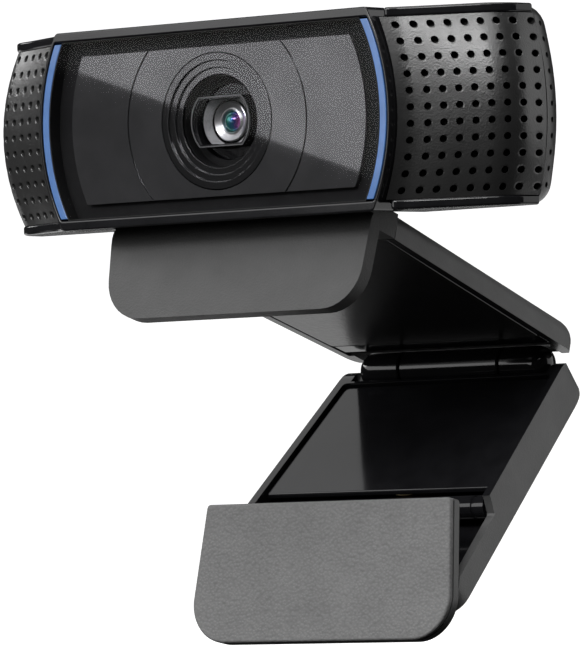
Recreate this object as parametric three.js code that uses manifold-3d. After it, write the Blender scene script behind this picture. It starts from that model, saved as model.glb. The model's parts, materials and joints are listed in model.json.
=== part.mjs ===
// Clip-on webcam: a camera head on a folding screen clip, standing open at its working angles.
// Millimetres. +X is the viewer's right, the camera looks along -Y, +Z is up.
// The origin is on the clip's underside, where it rests on a screen's top edge.
import * as THREE from 'three';
import { mergeVertices } from 'three/addons/utils/BufferGeometryUtils.js';
import Module from 'manifold-3d';

const wasm = await Module();
wasm.setup();

// ---------------------------------------------------------------- driving dimensions

const GAP = 0.3; // air between two pieces that touch on the real object

// Angles of the clip about X, from horizontal, rising towards the back
const ARM_ANGLE = -18.6;
const LEG_ANGLE = 39.3;
const FOOT_ANGLE = 78.8;
const LIP_ANGLE = 87; // inside angle between the lip and the arm's underside

// Head, measured from the lens axis on the window's front plane
const HEAD_AT = { y: -17.48, z: 20.09 };
const HALF_WIDTH = 47;
const HALF_HEIGHT = 14.5;
const HEAD_DEPTH = 24;
const SEAM_Y = 16.8; // grilles and trims end here, the rear shell starts
const BAR_Z = 13.1; // underside of the top bar
const BLOCK_RADIUS = 31.6; // the window block's sides are arcs about the lens axis
const BLOCK_DEPTH = 5;
const STRIP = { inner: 29.85, outer: 31.0 };
const GLASS_RADIUS = 29.6;
const INLAY = { radius: 26.5, halfHeight: 10.85, corner: 1.4 };
const GROOVE_RADIUS = 16.17;
const FUNNEL = [9.86, 8.8, 7.77, 6.76]; // radii of the steps round the lens
const SHROUD = { radius: 5.3, flat: 3.65, bore: 3.35 };
const BARREL_RADIUS = 3.0;

// Wings beside the window: a straight run, then a quarter turn to the seam
const WING = {
  slope: 21.7, bendX: 41.75, bendY: 6.68, bendRadius: 8.33, thick: 1.2, arcLength: 65.5, bowLength: 140,
};
const WING_HALF_HEIGHT = 12.6;
const HOLE = {
  radius: 0.47, pitch: 2.25, rowPitch: 2.3, rows: 11, columns: 9, axis: 36, first: 3.5, firstGap: 0.2,
};
const TRIM = { low: 12.9, high: 14.3, proud: 0.3 };

// Head tilt axis, measured like the head
const TILT_AT = { y: 12.5, z: -9.4 };
const SADDLE_Z = -11.9;
const SADDLE_HALF_WIDTH = 24.6;

// Arm, measured along and across its underside
const CORNER_Y = -10; // where the lip meets the underside
const LIP = { height: 12.3, thick: 2.4, halfTop: 23.4, halfLow: 22.5, corner: 6 };
const ARM_THICK = 3.7;
const HINGE_Y = 44.9;
const HINGE_DROP = 1.9; // the hinge axis lies this far below the underside
const HINGE_RADIUS = 2.8;
const HINGE_HALF_LENGTH = 17.2;
const KNUCKLE_HALF = 9; // half the length of the leg's knuckle
const NARROW = 20.2; // the clip's half width at the hinge
const TAPER = 0.06; // what it gains for each millimetre from the hinge
const RIM = 1.3; // width of the shells' side walls
const ARM_SCREW = { x: 13, y: 12 };
const LEG_SCREW = { x: 13, y: -10 };

// Leg, measured from the hinge axis
const LEG = { front: 0.67, back: -5.9, end: 50.2, low: -2.2 };
const RECESS_Y = 31.2; // below this the side walls step back for the folded foot
const BAR = { y: 30.7, z: -1.95, radius: 1.8 };
const FOOT_AT = { y: 45.27, z: -3.43 };
const INSERT = { y: 19, radius: 4.5, bore: 2.55, seat: -5.9 };

// Foot, measured from its pin
const FOOT = {
  front: 4.1, back: 1.8, top: 11.6, low: -9.0, halfTop: 22.2, halfLow: 23.3, corner: 7, topCorner: 1.6,
};

// ---------------------------------------------------------------- tools

const rad = THREE.MathUtils.degToRad;

// A closed three.js geometry as a solid with its faces pointing out
function solid(geometry) {
  const bare = geometry.index ? geometry.toNonIndexed() : geometry.clone();
  bare.deleteAttribute('normal');
  bare.deleteAttribute('uv');
  const merged = mergeVertices(bare, 1e-4);
  const triVerts = new Uint32Array(merged.index.array);
  const vertProperties = new Float32Array(merged.attributes.position.array);
  const made = new wasm.Manifold(new wasm.Mesh({ numProp: 3, vertProperties, triVerts }));
  if (made.volume() > 0) return made;
  for (let i = 0; i < triVerts.length; i += 3) {
    [triVerts[i], triVerts[i + 1]] = [triVerts[i + 1], triVerts[i]];
  }
  return new wasm.Manifold(new wasm.Mesh({ numProp: 3, vertProperties, triVerts }));
}

// The solid as geometry for a mesh
function geometryOf(made) {
  const { vertProperties, triVerts, numProp } = made.getMesh();
  const positions = new Float32Array((vertProperties.length / numProp) * 3);
  for (let i = 0; i < positions.length / 3; i++) {
    for (let k = 0; k < 3; k++) positions[3 * i + k] = vertProperties[numProp * i + k];
  }
  const geometry = new THREE.BufferGeometry();
  geometry.setAttribute('position', new THREE.BufferAttribute(positions, 3));
  geometry.setIndex(new THREE.BufferAttribute(new Uint32Array(triVerts), 1));
  geometry.computeVertexNormals();
  return geometry;
}

const cut = (body, ...tools) => tools.reduce((left, tool) => left.subtract(tool), body);
const join = (body, ...more) => more.reduce((sum, next) => sum.add(next), body);

function outline(points) {
  return new THREE.Shape(points.map(([x, y]) => new THREE.Vector2(x, y)));
}

// Outline drawn in plan (X, Y), from z = low to z = high
function planPlate(shape, low, high, segments = 6) {
  const options = { depth: high - low, bevelEnabled: false, curveSegments: segments };
  return solid(new THREE.ExtrudeGeometry(shape, options).translate(0, 0, low));
}

// Outline drawn in front view (X, Z), from y = front to y = back
function frontPlate(shape, front, back, segments = 6) {
  const options = { depth: back - front, bevelEnabled: false, curveSegments: segments };
  const geometry = new THREE.ExtrudeGeometry(shape, options);
  return solid(geometry.rotateX(Math.PI / 2).translate(0, back, 0));
}

// Outline drawn in side view (Y, Z), from x = left to x = right
function sidePlate(shape, left, right, segments = 6) {
  const options = { depth: right - left, bevelEnabled: false, curveSegments: segments };
  const geometry = new THREE.ExtrudeGeometry(shape, options);
  const turn = new THREE.Matrix4().makeBasis(
    new THREE.Vector3(0, 1, 0),
    new THREE.Vector3(0, 0, 1),
    new THREE.Vector3(1, 0, 0),
  );
  return solid(geometry.applyMatrix4(turn).translate(left, 0, 0));
}

function block(xs, ys, zs) {
  const size = [xs, ys, zs].map(([low, high]) => high - low);
  const middle = [xs, ys, zs].map(([low, high]) => (high + low) / 2);
  return solid(new THREE.BoxGeometry(...size).translate(...middle));
}

// Round bar along X
function barX(radius, left, right, at = { y: 0, z: 0 }, sides = 16) {
  const geometry = new THREE.CylinderGeometry(radius, radius, right - left, sides);
  return solid(geometry.rotateZ(Math.PI / 2).translate((left + right) / 2, at.y, at.z));
}

// Round bar along Y, on the lens axis unless placed elsewhere
function barY(radius, front, back, at = { x: 0, z: 0 }, sides = 20) {
  const geometry = new THREE.CylinderGeometry(radius, radius, back - front, sides);
  return solid(geometry.translate(at.x, (front + back) / 2, at.z));
}

function barZ(radius, low, high, at, sides = 16) {
  const geometry = new THREE.CylinderGeometry(radius, radius, high - low, sides);
  return solid(geometry.rotateX(Math.PI / 2).translate(at.x, at.y, (low + high) / 2));
}

// Ring turned about the Y axis from a closed profile of [radius, y]
function turned(profile, sides = 28) {
  const points = [...profile, profile[0]].map(([r, y]) => new THREE.Vector2(r, y));
  return solid(new THREE.LatheGeometry(points, sides));
}

// Front-view outline with flat top and bottom and sides that are arcs about the lens axis
function lensOutline(radius, halfHeight) {
  const angle = Math.asin(halfHeight / radius);
  const shape = new THREE.Shape();
  shape.absarc(0, 0, radius, -angle, angle, false);
  shape.absarc(0, 0, radius, Math.PI - angle, Math.PI + angle, false);
  shape.closePath();
  return shape;
}

function circleHole(shape, radius) {
  shape.holes.push(new THREE.Path().absarc(0, 0, radius, 0, 2 * Math.PI, true));
  return shape;
}

// Rectangle whose lower corners are rounded, wider or narrower at the bottom. `topCorner` rounds
// its upper corners a little.
function flapOutline(halfTop, halfLow, top, low, corner, topCorner = 0.01) {
  const shape = new THREE.Shape();
  shape.moveTo(halfTop, top - topCorner);
  shape.quadraticCurveTo(halfTop, top, halfTop - topCorner, top);
  shape.lineTo(-halfTop + topCorner, top);
  shape.quadraticCurveTo(-halfTop, top, -halfTop, top - topCorner);
  shape.lineTo(-halfLow, low + corner);
  shape.quadraticCurveTo(-halfLow, low, -halfLow + corner, low);
  shape.lineTo(halfLow - corner, low);
  shape.quadraticCurveTo(halfLow, low, halfLow, low + corner);
  shape.closePath();
  return shape;
}

// Half width of the clip, `far` millimetres from the hinge
const halfWidthAt = (far) => NARROW + TAPER * far;

// Plan of the tapered arm or leg between two distances from the hinge, `inset` from its sides,
// with its corners rounded where a radius is given
function taperPlan(near, far, inset, corners = {}) {
  const { atNear = 0.01, atFar = 0.01, hinge = 0 } = corners;
  const a = halfWidthAt(near) - inset;
  const b = halfWidthAt(far) - inset;
  const yNear = hinge - near;
  const yFar = hinge - far;
  const shape = new THREE.Shape();
  shape.moveTo(b, yFar + atFar);
  shape.lineTo(a, yNear - atNear);
  shape.quadraticCurveTo(a, yNear, a - atNear, yNear);
  shape.lineTo(-a + atNear, yNear);
  shape.quadraticCurveTo(-a, yNear, -a, yNear - atNear);
  shape.lineTo(-b, yFar + atFar);
  shape.quadraticCurveTo(-b, yFar, -b + atFar, yFar);
  shape.lineTo(b - atFar, yFar);
  shape.quadraticCurveTo(b, yFar, b, yFar + atFar);
  return shape;
}

// ---------------------------------------------------------------- materials

function finish(color, roughness, metalness = 0) {
  return new THREE.MeshStandardMaterial({ color, roughness, metalness });
}

const MATERIAL = {
  gloss: finish(0x08080a, 0.12),
  satin: finish(0x4a4a4c, 0.5),
  grille: finish(0x2a2a2b, 0.45),
  inlay: finish(0x3a3a3c, 0.55),
  pad: finish(0x55555a, 0.7),
  glass: new THREE.MeshStandardMaterial({
    color: 0x202224, roughness: 0.05, transparent: true, opacity: 0.35,
  }),
  lens: finish(0x2b5a7a, 0.05),
  light: finish(0x4f7fd0, 0.3),
  steel: finish(0xa8a9ab, 0.35, 1),
  brass: finish(0xb08d4c, 0.35, 1),
  board: finish(0x1d4a30, 0.6),
  chip: finish(0x1b1b1c, 0.5),
  rubber: finish(0x161617, 0.8),
};

const part = new THREE.Group();

function groupAt(parent, at, angle) {
  const group = new THREE.Group();
  group.position.set(0, at.y, at.z);
  group.rotation.x = rad(angle);
  parent.add(group);
  return group;
}

function add(group, name, material, made) {
  const mesh = new THREE.Mesh(geometryOf(made), material);
  mesh.name = name;
  group.add(mesh);
}

const SIDES = [['left', -1], ['right', 1]];

const mirrored = (made, side) => (side > 0 ? made : made.mirror([1, 0, 0]));

// ---------------------------------------------------------------- head

const head = groupAt(part, HEAD_AT, 0);

// Front surface of the right wing in plan: from the window block out and round to the seam
function wingPlan() {
  const slope = Math.tan(rad(WING.slope));
  const start = BLOCK_RADIUS + GAP;
  const points = [];
  const flare = 2.4; // the surface sweeps forwards as it meets the block
  for (const x of [start, start + 0.9, start + flare]) {
    const rise = 0.9 * ((start + flare - x) / flare) ** 2;
    points.push([x, WING.bendY - (WING.bendX - x) * slope - rise]);
  }
  const steps = 6;
  for (let i = 0; i <= steps; i++) {
    const angle = rad(WING.slope) + (i / steps) * (Math.PI / 2 - rad(WING.slope));
    const x = WING.bendX + WING.bendRadius * (Math.sin(angle) - Math.sin(rad(WING.slope)));
    const y = WING.bendY + WING.bendRadius * (Math.cos(rad(WING.slope)) - Math.cos(angle));
    points.push([x, y]);
  }
  points.push([points.at(-1)[0], SEAM_Y]);
  return points;
}

// How far the wing is drawn in towards the lens at height z, following the block's arc
const drawIn = (z) => z ** 2 / WING.arcLength;

// How far it bows back there: not at all beside the block, fully from the bend on
function bowBack(x, z) {
  const t = THREE.MathUtils.smoothstep(x, BLOCK_RADIUS, WING.bendX);
  return (t * z ** 2) / WING.bowLength;
}

// Offset copy of the plan, `depth` inside the front surface
function insidePlan(points, depth) {
  return points.map(([x, y], i) => {
    const [ax, ay] = points[Math.max(i - 1, 0)];
    const [bx, by] = points[Math.min(i + 1, points.length - 1)];
    const length = Math.hypot(bx - ax, by - ay);
    const lastFlat = i === points.length - 1 ? 0 : 1;
    return [x - ((by - ay) / length) * depth, y + ((bx - ax) / length) * depth * lastFlat];
  });
}

function wingSolid() {
  const front = wingPlan();
  const back = insidePlan(front, WING.thick);
  const ring = [...front, ...back.reverse()];
  const layers = 6;
  const positions = [];
  for (let j = 0; j <= layers; j++) {
    const z = WING_HALF_HEIGHT * ((2 * j) / layers - 1);
    for (const [x, y] of ring) positions.push(x - drawIn(z), Math.min(y + bowBack(x, z), SEAM_Y), z);
  }
  const n = ring.length;
  const index = [];
  for (let j = 0; j < layers; j++) {
    for (let i = 0; i < n; i++) {
      const a = j * n + i;
      const b = j * n + ((i + 1) % n);
      index.push(a, b, a + n, b, b + n, a + n);
    }
  }
  const half = n / 2;
  for (let i = 0; i < half - 1; i++) {
    const k = n - 1 - i;
    index.push(i, k, i + 1, i + 1, k, k - 1);
    const t = layers * n;
    index.push(t + i, t + i + 1, t + k, t + i + 1, t + k - 1, t + k);
  }
  const geometry = new THREE.BufferGeometry();
  geometry.setAttribute('position', new THREE.Float32BufferAttribute(positions, 3));
  geometry.setIndex(index);
  return solid(geometry);
}

// Point of the wing's front surface where a hole column meets the plane of the lens axis.
// Columns are evenly spaced square to the holes' own axis.
function columnPoint(column) {
  const far = HOLE.first + HOLE.pitch * column + (column ? HOLE.firstGap : 0);
  const c = Math.cos(rad(HOLE.axis));
  const s = Math.sin(rad(HOLE.axis));
  const points = wingPlan();
  for (let i = 1; i < points.length; i++) {
    const [a, b] = [points[i - 1], points[i]].map(([x, y]) => (x - 31) * c + y * s);
    if (b < far) continue;
    const t = (far - a) / (b - a);
    return points[i - 1].map((v, k) => v + t * (points[i][k] - v));
  }
  throw new Error('a hole column lies past the wing');
}

function holeCutter(x, y, z) {
  const geometry = new THREE.CylinderGeometry(HOLE.radius, HOLE.radius, 5, 6);
  return solid(geometry.rotateZ(rad(HOLE.axis)).translate(x, y, z));
}

function grille() {
  const cutters = [];
  const middle = (HOLE.rows - 1) / 2;
  for (let column = 0; column < HOLE.columns; column++) {
    const [x, y] = columnPoint(column);
    for (let row = 0; row < HOLE.rows; row++) {
      const z = (middle - row) * HOLE.rowPitch;
      cutters.push(holeCutter(x - drawIn(z), y + bowBack(x, z), z));
    }
  }
  const nearBlock = frontPlate(lensOutline(BLOCK_RADIUS + GAP, HALF_HEIGHT), -1, 9, 8);
  return cut(wingSolid(), nearBlock, ...cutters);
}

// Plan of the top and bottom trims: the wing's outline, drawn in to its ends' height
function trimPlan() {
  const front = wingPlan().map(([x, y]) => [x - drawIn(TRIM.low), y + bowBack(x, TRIM.low) - TRIM.proud]);
  const side = front.filter(([x, y]) => y < SEAM_Y - 1 && x > 30);
  side.push([side.at(-1)[0], SEAM_Y]);
  const inner = [[0, BLOCK_DEPTH + GAP], [29.2, BLOCK_DEPTH + GAP]];
  const right = [...inner, [29.2, side[0][1]], ...side];
  return right;
}

function bothSides(points) {
  const left = points.filter(([x]) => x > 0).map(([x, y]) => [-x, y]).reverse();
  return outline([...points, ...left]);
}

function trims() {
  const points = trimPlan();
  add(head, 'top_trim', MATERIAL.gloss, planPlate(bothSides(points), TRIM.low, TRIM.high));
  const outer = points.filter(([x]) => x > 28);
  const inner = SADDLE_HALF_WIDTH + GAP;
  const lower = [[inner, BLOCK_DEPTH + GAP], ...outer, [inner, SEAM_Y]];
  for (const [word, side] of SIDES) {
    const plate = planPlate(outline(lower), -TRIM.high, -TRIM.low);
    add(head, `${word}_bottom_trim`, MATERIAL.gloss, mirrored(plate, side));
  }
}

function windowBlock() {
  const opening = frontPlate(lensOutline(STRIP.outer + 0.15, BAR_Z - 0.05), -1, BLOCK_DEPTH + 1, 8);
  const block_ = frontPlate(lensOutline(BLOCK_RADIUS, HALF_HEIGHT), 0, BLOCK_DEPTH, 8);
  add(head, 'window_bezel', MATERIAL.gloss, cut(block_, opening));

  const glass = frontPlate(lensOutline(GLASS_RADIUS, BAR_Z - 0.25), 0.05, 1.05, 8);
  add(head, 'front_window', MATERIAL.glass, glass);

  const panel = frontPlate(circleHole(lensOutline(INLAY.radius, INLAY.halfHeight), 10.3), 1.35, 2, 10);
  const ringWidth = 0.3;
  const groove = turned([
    [GROOVE_RADIUS - ringWidth, 1], [GROOVE_RADIUS - ringWidth, 1.6],
    [GROOVE_RADIUS, 1.6], [GROOVE_RADIUS, 1],
  ], 40);
  add(head, 'inlay_panel', MATERIAL.inlay, cut(panel, groove));

  const mask = frontPlate(circleHole(lensOutline(GLASS_RADIUS - 0.2, BAR_Z - 0.25), 10.3), 2.3, 3, 10);
  add(head, 'window_mask', MATERIAL.gloss, mask);
}

function lightGuides() {
  const top = BAR_Z - 0.3;
  const guide = new THREE.Shape();
  const outer = Math.asin(top / STRIP.outer);
  const inner = Math.asin(top / STRIP.inner);
  guide.absarc(0, 0, STRIP.outer, -outer, outer, false);
  guide.absarc(0, 0, STRIP.inner, inner, -inner, true);
  guide.closePath();
  const stem = block([29.95, 30.9], [2, 11.5], [-1.4, 1.4]);
  const whole = join(frontPlate(guide, 0.05, 4.6, 8), stem);
  for (const [word, side] of SIDES) {
    add(head, `${word}_light_guide`, MATERIAL.light, mirrored(whole, side));
    const led = block([29.4, 31.4], [11.8, 12.4], [-0.8, 0.8]);
    add(head, `${word}_led`, MATERIAL.steel, mirrored(led, side));
  }
}

function lensFunnel() {
  const stepDepth = 0.35;
  const faceY = 1.35;
  const floorY = 4.4;
  const profile = [[FUNNEL[0], faceY]];
  for (let i = 1; i < FUNNEL.length; i++) {
    const isLast = i === FUNNEL.length - 1;
    profile.push([FUNNEL[i], faceY + stepDepth * (i - 1)]);
    profile.push([FUNNEL[i], isLast ? floorY : faceY + stepDepth * i]);
  }
  profile.push([5.6, floorY], [5.6, 5], [FUNNEL[0], 5]);
  add(head, 'lens_bezel', MATERIAL.gloss, turned(profile));

  const tube = turned([
    [SHROUD.bore, 5.6], [SHROUD.bore, 3.6], [4.2, 2.3], [SHROUD.radius, 2.3], [SHROUD.radius, 5.6],
  ], 24);
  const flats = block([-6, 6], [2, 6], [-SHROUD.flat, SHROUD.flat]);
  const flange = turned([[SHROUD.bore, 5.3], [SHROUD.bore, 5.9], [6.4, 5.9], [6.4, 5.3]], 24);
  add(head, 'lens_shroud', MATERIAL.gloss, join(tube.intersect(flats), flange));
}

function lensCarriage() {
  const barrel = turned([
    [2.0, 5.3], [BARREL_RADIUS, 5.3], [BARREL_RADIUS, 10.3], [2.0, 10.3],
  ], 20);
  add(head, 'lens_barrel', MATERIAL.chip, barrel);
  add(head, 'lens_retainer', MATERIAL.steel, turned([[1.75, 4.7], [1.75, 5.05], [2.9, 5.05], [2.9, 4.7]], 20));
  const front = turned([[0, 4.85], [0.8, 4.95], [1.45, 5.3], [1.7, 5.6], [1.7, 6.2], [0, 6.2]], 16);
  add(head, 'front_lens', MATERIAL.lens, front);
  const rear = turned([[0, 8.6], [1.2, 8.7], [1.75, 8.9], [1.75, 9.7], [0, 9.9]], 16);
  add(head, 'rear_lens', MATERIAL.lens, rear);
}

function electronics() {
  const housing = cut(block([-5, 5], [6.3, 11.1], [-4.2, 4.2]), barY(3.35, 6, 12));
  add(head, 'focus_actuator', MATERIAL.chip, housing);
  add(head, 'infrared_filter', MATERIAL.lens, block([-2.6, 2.6], [11.4, 11.7], [-2.2, 2.2]));
  add(head, 'image_sensor', MATERIAL.chip, block([-3.2, 3.2], [12.0, 12.4], [-2.6, 2.6]));
  let board = block([-42, 42], [12.7, 13.7], [-4.3, 11.2]);
  for (const [word, side] of SIDES) {
    const at = { x: side * 24, z: 7.5 };
    board = board.subtract(barY(1.1, 12, 14.5, at, 12));
    const screw = join(barY(0.8, 10.2, 14.2, at, 12), barY(1.6, 14.0, 14.8, at, 12));
    add(head, `board_screw_${word}`, MATERIAL.steel, screw);
    const mic = block([35, 39], [11.6, 12.4], [1.5, 4.5]);
    add(head, `${word}_microphone`, MATERIAL.steel, mirrored(mic, side));
    const gasket = cut(barY(2.2, 7.6, 11.3, { x: 37, z: 3 }, 14), barY(1, 7, 12, { x: 37, z: 3 }, 10));
    add(head, `${word}_mic_gasket`, MATERIAL.rubber, mirrored(gasket, side));
  }
  add(head, 'main_board', MATERIAL.board, board);
  add(head, 'image_processor', MATERIAL.chip, block([-17, -8], [14, 15], [-1, 8]));
  const can = cut(block([-19.5, -5.5], [14, 16.4], [-3, 10]), block([-19, -6], [13, 16], [-2.5, 9.5]));
  add(head, 'shield_can', MATERIAL.steel, can);
}

// Outline of the head in front view, with the saddle that clears the clip cut from its underside
function rearFront(inset) {
  const w = HALF_WIDTH - 1.2 - inset;
  const h = TRIM.high - 0.1 - inset;
  const r = 4;
  const n = SADDLE_HALF_WIDTH + (inset ? inset : 0);
  const s = SADDLE_Z + inset;
  const shape = new THREE.Shape();
  shape.moveTo(-n, -h);
  shape.lineTo(-n, s);
  shape.lineTo(n, s);
  shape.lineTo(n, -h);
  shape.lineTo(w - r, -h);
  shape.quadraticCurveTo(w, -h, w, -h + r);
  shape.quadraticCurveTo(w + 1.6, 0, w, h - r);
  shape.quadraticCurveTo(w, h, w - r, h);
  shape.lineTo(-w + r, h);
  shape.quadraticCurveTo(-w, h, -w, h - r);
  shape.quadraticCurveTo(-w - 1.6, 0, -w, -h + r);
  shape.quadraticCurveTo(-w, -h, -w + r, -h);
  shape.closePath();
  return shape;
}

function rearPlan(inset, front) {
  const w = HALF_WIDTH - inset;
  const back = HEAD_DEPTH - inset;
  const shape = new THREE.Shape();
  shape.moveTo(-w, front);
  shape.quadraticCurveTo(-w, back - 2, -w + 10, back);
  shape.lineTo(w - 10, back);
  shape.quadraticCurveTo(w, back - 2, w, front);
  shape.closePath();
  return shape;
}

function rearSide(inset, front) {
  const h = HALF_HEIGHT - inset;
  const back = HEAD_DEPTH - inset;
  const shape = new THREE.Shape();
  shape.moveTo(front, -h);
  shape.quadraticCurveTo(back, -h, back, -h + 6.5);
  shape.lineTo(back, h - 6.5);
  shape.quadraticCurveTo(back, h, front, h);
  shape.closePath();
  return shape;
}

function rearBody(inset, front) {
  const plan = planPlate(rearPlan(inset, front), -20, 20);
  const face = frontPlate(rearFront(inset), front, 30, 5);
  const side = sidePlate(rearSide(inset, front), -60, 60, 5);
  return plan.intersect(face).intersect(side);
}

function rearParts() {
  const wall = 1.4;
  const front = SEAM_Y + GAP;
  const glandAt = { x: 15, z: -3 };
  const shell = cut(
    rearBody(0, front), rearBody(wall, front - 1), barY(2.6, 20, 26, glandAt, 16),
    block([-11.4, 11.4], [front - 1, front + 1.5], [-13, -9]),
  );
  add(head, 'rear_shell', MATERIAL.grille, shell);
  const gland = join(barY(2.2, 20.4, 24.5, glandAt, 16), barY(3.4, 24.3, 25, glandAt, 20));
  add(head, 'cable_gland', MATERIAL.rubber, cut(gland, barY(1.5, 20, 26, glandAt, 12)));

  const saddle = block([-24.3, 24.3], [5.3, SEAM_Y], [SADDLE_Z, SADDLE_Z + 1.2]);
  const slot = block([-11.4, 11.4], [7.2, SEAM_Y + 1], [-13, -9]);
  add(head, 'saddle_plate', MATERIAL.gloss, cut(saddle, slot));
}

function tiltYoke() {
  const plate = block([-12, 12], [8.6, 18.5], [-5.9, -4.9]);
  const bore = barX(1.45, -13, 13, TILT_AT, 12);
  let yoke = plate;
  for (const side of [-1, 1]) {
    const xs = side < 0 ? [-11, -9.6] : [9.6, 11];
    const web = block(xs, [TILT_AT.y - 2.3, TILT_AT.y + 2.3], [TILT_AT.z, -5.5]);
    yoke = join(yoke, web, barX(2.3, xs[0], xs[1], TILT_AT, 16));
  }
  add(head, 'tilt_yoke', MATERIAL.steel, cut(yoke, bore));
}

// ---------------------------------------------------------------- clip base

const arm = groupAt(part, { y: 0, z: 0 }, ARM_ANGLE);

// The head's tilt axis in the arm's own frame
function tiltInArm() {
  const y = HEAD_AT.y + TILT_AT.y;
  const z = HEAD_AT.z + TILT_AT.z;
  const a = rad(ARM_ANGLE);
  return { y: y * Math.cos(a) + z * Math.sin(a), z: -y * Math.sin(a) + z * Math.cos(a) };
}

const onArm = { hinge: HINGE_Y };

const distanceFromHinge = (y) => HINGE_Y - y;

function lipBracket() {
  const lean = rad(90 - LIP_ANGLE);
  const outside = CORNER_Y - LIP.thick;
  const flap = flapOutline(LIP.halfTop, LIP.halfLow, 1.5, -LIP.height, LIP.corner);
  const lip = frontPlate(flap, outside, CORNER_Y, 5).rotate([(lean * 180) / Math.PI, 0, 0]);
  const drop = lip.translate([0, CORNER_Y * (1 - Math.cos(lean)), -CORNER_Y * Math.sin(lean)]);
  const bend = new THREE.Shape();
  const r = 3;
  bend.moveTo(outside, 0.2);
  bend.lineTo(outside, ARM_THICK - r);
  bend.quadraticCurveTo(outside, ARM_THICK, outside + r, ARM_THICK);
  bend.lineTo(-6.2, ARM_THICK);
  bend.lineTo(-6.2, 0);
  bend.lineTo(CORNER_Y - 0.3, 0);
  bend.closePath();
  const root = sidePlate(bend, -LIP.halfTop, LIP.halfTop, 4);
  const rest = taperPlan(distanceFromHinge(38), distanceFromHinge(-6.5), RIM + GAP, onArm);
  return join(drop, root, planPlate(rest, 0, 1.3));
}

function armShell() {
  const near = -1.6; // the shell reaches past the hinge axis
  const far = distanceFromHinge(-5.9);
  const outer = planPlate(taperPlan(near, far, 0, { ...onArm, atNear: 3 }), 0, ARM_THICK, 4);
  const profile = new THREE.Shape();
  profile.moveTo(-6, 0);
  profile.lineTo(-6, ARM_THICK);
  profile.lineTo(43.5, ARM_THICK);
  profile.quadraticCurveTo(46.8, ARM_THICK, 46.8, 0.6);
  profile.lineTo(46.2, 0);
  profile.closePath();
  const side = sidePlate(profile, -30, 30, 4);
  const pocket = planPlate(taperPlan(2.2, far + 1, RIM, onArm), -1, 1.6);
  const barrelRoom = barX(HINGE_RADIUS + GAP, -18, 18, { y: HINGE_Y, z: -HINGE_DROP }, 24);
  const screwRoom = SIDES.flatMap(([, at]) => [
    barZ(1.9, 1, 2.6, { x: at * ARM_SCREW.x, y: ARM_SCREW.y }),
    barZ(1.1, 2, 3.3, { x: at * ARM_SCREW.x, y: ARM_SCREW.y }, 12),
  ]);
  return cut(outer.intersect(side), pocket, barrelRoom, ...screwRoom);
}

function neck() {
  const tilt = tiltInArm();
  const base = ARM_THICK + GAP;
  const post = new THREE.Shape();
  post.moveTo(-11.2, base);
  post.lineTo(-5.0, base);
  post.lineTo(tilt.y + 2.6, tilt.z);
  post.lineTo(tilt.y - 2.6, tilt.z);
  post.closePath();
  const column = sidePlate(post, -8.9, 8.9);
  const knuckle = barX(2.9, -8.9, 8.9, tilt, 20);
  return cut(join(column, knuckle), barX(1.45, -10, 10, tilt, 12));
}

function armPieces() {
  const tilt = tiltInArm();
  const hinge = { y: HINGE_Y, z: -HINGE_DROP };
  add(arm, 'lip_bracket', MATERIAL.pad, lipBracket());
  add(arm, 'arm_shell', MATERIAL.satin, armShell());
  const panel = planPlate(taperPlan(3.6, distanceFromHinge(38.3), RIM + GAP, onArm), 0.1, 1.3);
  add(arm, 'arm_panel', MATERIAL.gloss, panel);
  add(arm, 'neck', MATERIAL.gloss, neck());
  add(arm, 'tilt_pin', MATERIAL.steel, barX(1.15, -11.4, 11.4, tilt, 12));
  for (const [word, side] of SIDES) {
    const washer = cut(barX(2.3, 9.05, 9.45, tilt, 16), barX(1.45, 8, 10, tilt, 12));
    add(arm, `${word}_tilt_washer`, MATERIAL.steel, mirrored(washer, side));
    const dome = [[HINGE_RADIUS, 14.8], [2.5, 16.2], [1.5, 17], [0, HINGE_HALF_LENGTH]];
    const profile = [[0, KNUCKLE_HALF + GAP], [HINGE_RADIUS, KNUCKLE_HALF + GAP], ...dome];
    const round = turned(profile, 24).rotate([0, 0, -90]).translate([0, hinge.y, hinge.z]);
    const bore = barX(1.4, 8, 15, hinge, 12);
    add(arm, `${word}_arm_knuckle`, MATERIAL.gloss, mirrored(cut(round, bore), side));
    const at = { x: side * ARM_SCREW.x, y: ARM_SCREW.y };
    const screw = join(barZ(0.8, 1.8, 3.05, at, 10), barZ(1.6, 1.7, 2.3, at, 10));
    add(arm, `arm_screw_${word}`, MATERIAL.steel, screw);
  }
  add(arm, 'hinge_pin', MATERIAL.steel, barX(1.1, -14.6, 14.6, hinge, 12));
}

// ---------------------------------------------------------------- leg

const hingeAt = {
  y: HINGE_Y * Math.cos(rad(ARM_ANGLE)) + HINGE_DROP * Math.sin(rad(ARM_ANGLE)),
  z: HINGE_Y * Math.sin(rad(ARM_ANGLE)) - HINGE_DROP * Math.cos(rad(ARM_ANGLE)),
};
const leg = groupAt(part, hingeAt, LEG_ANGLE);

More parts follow.
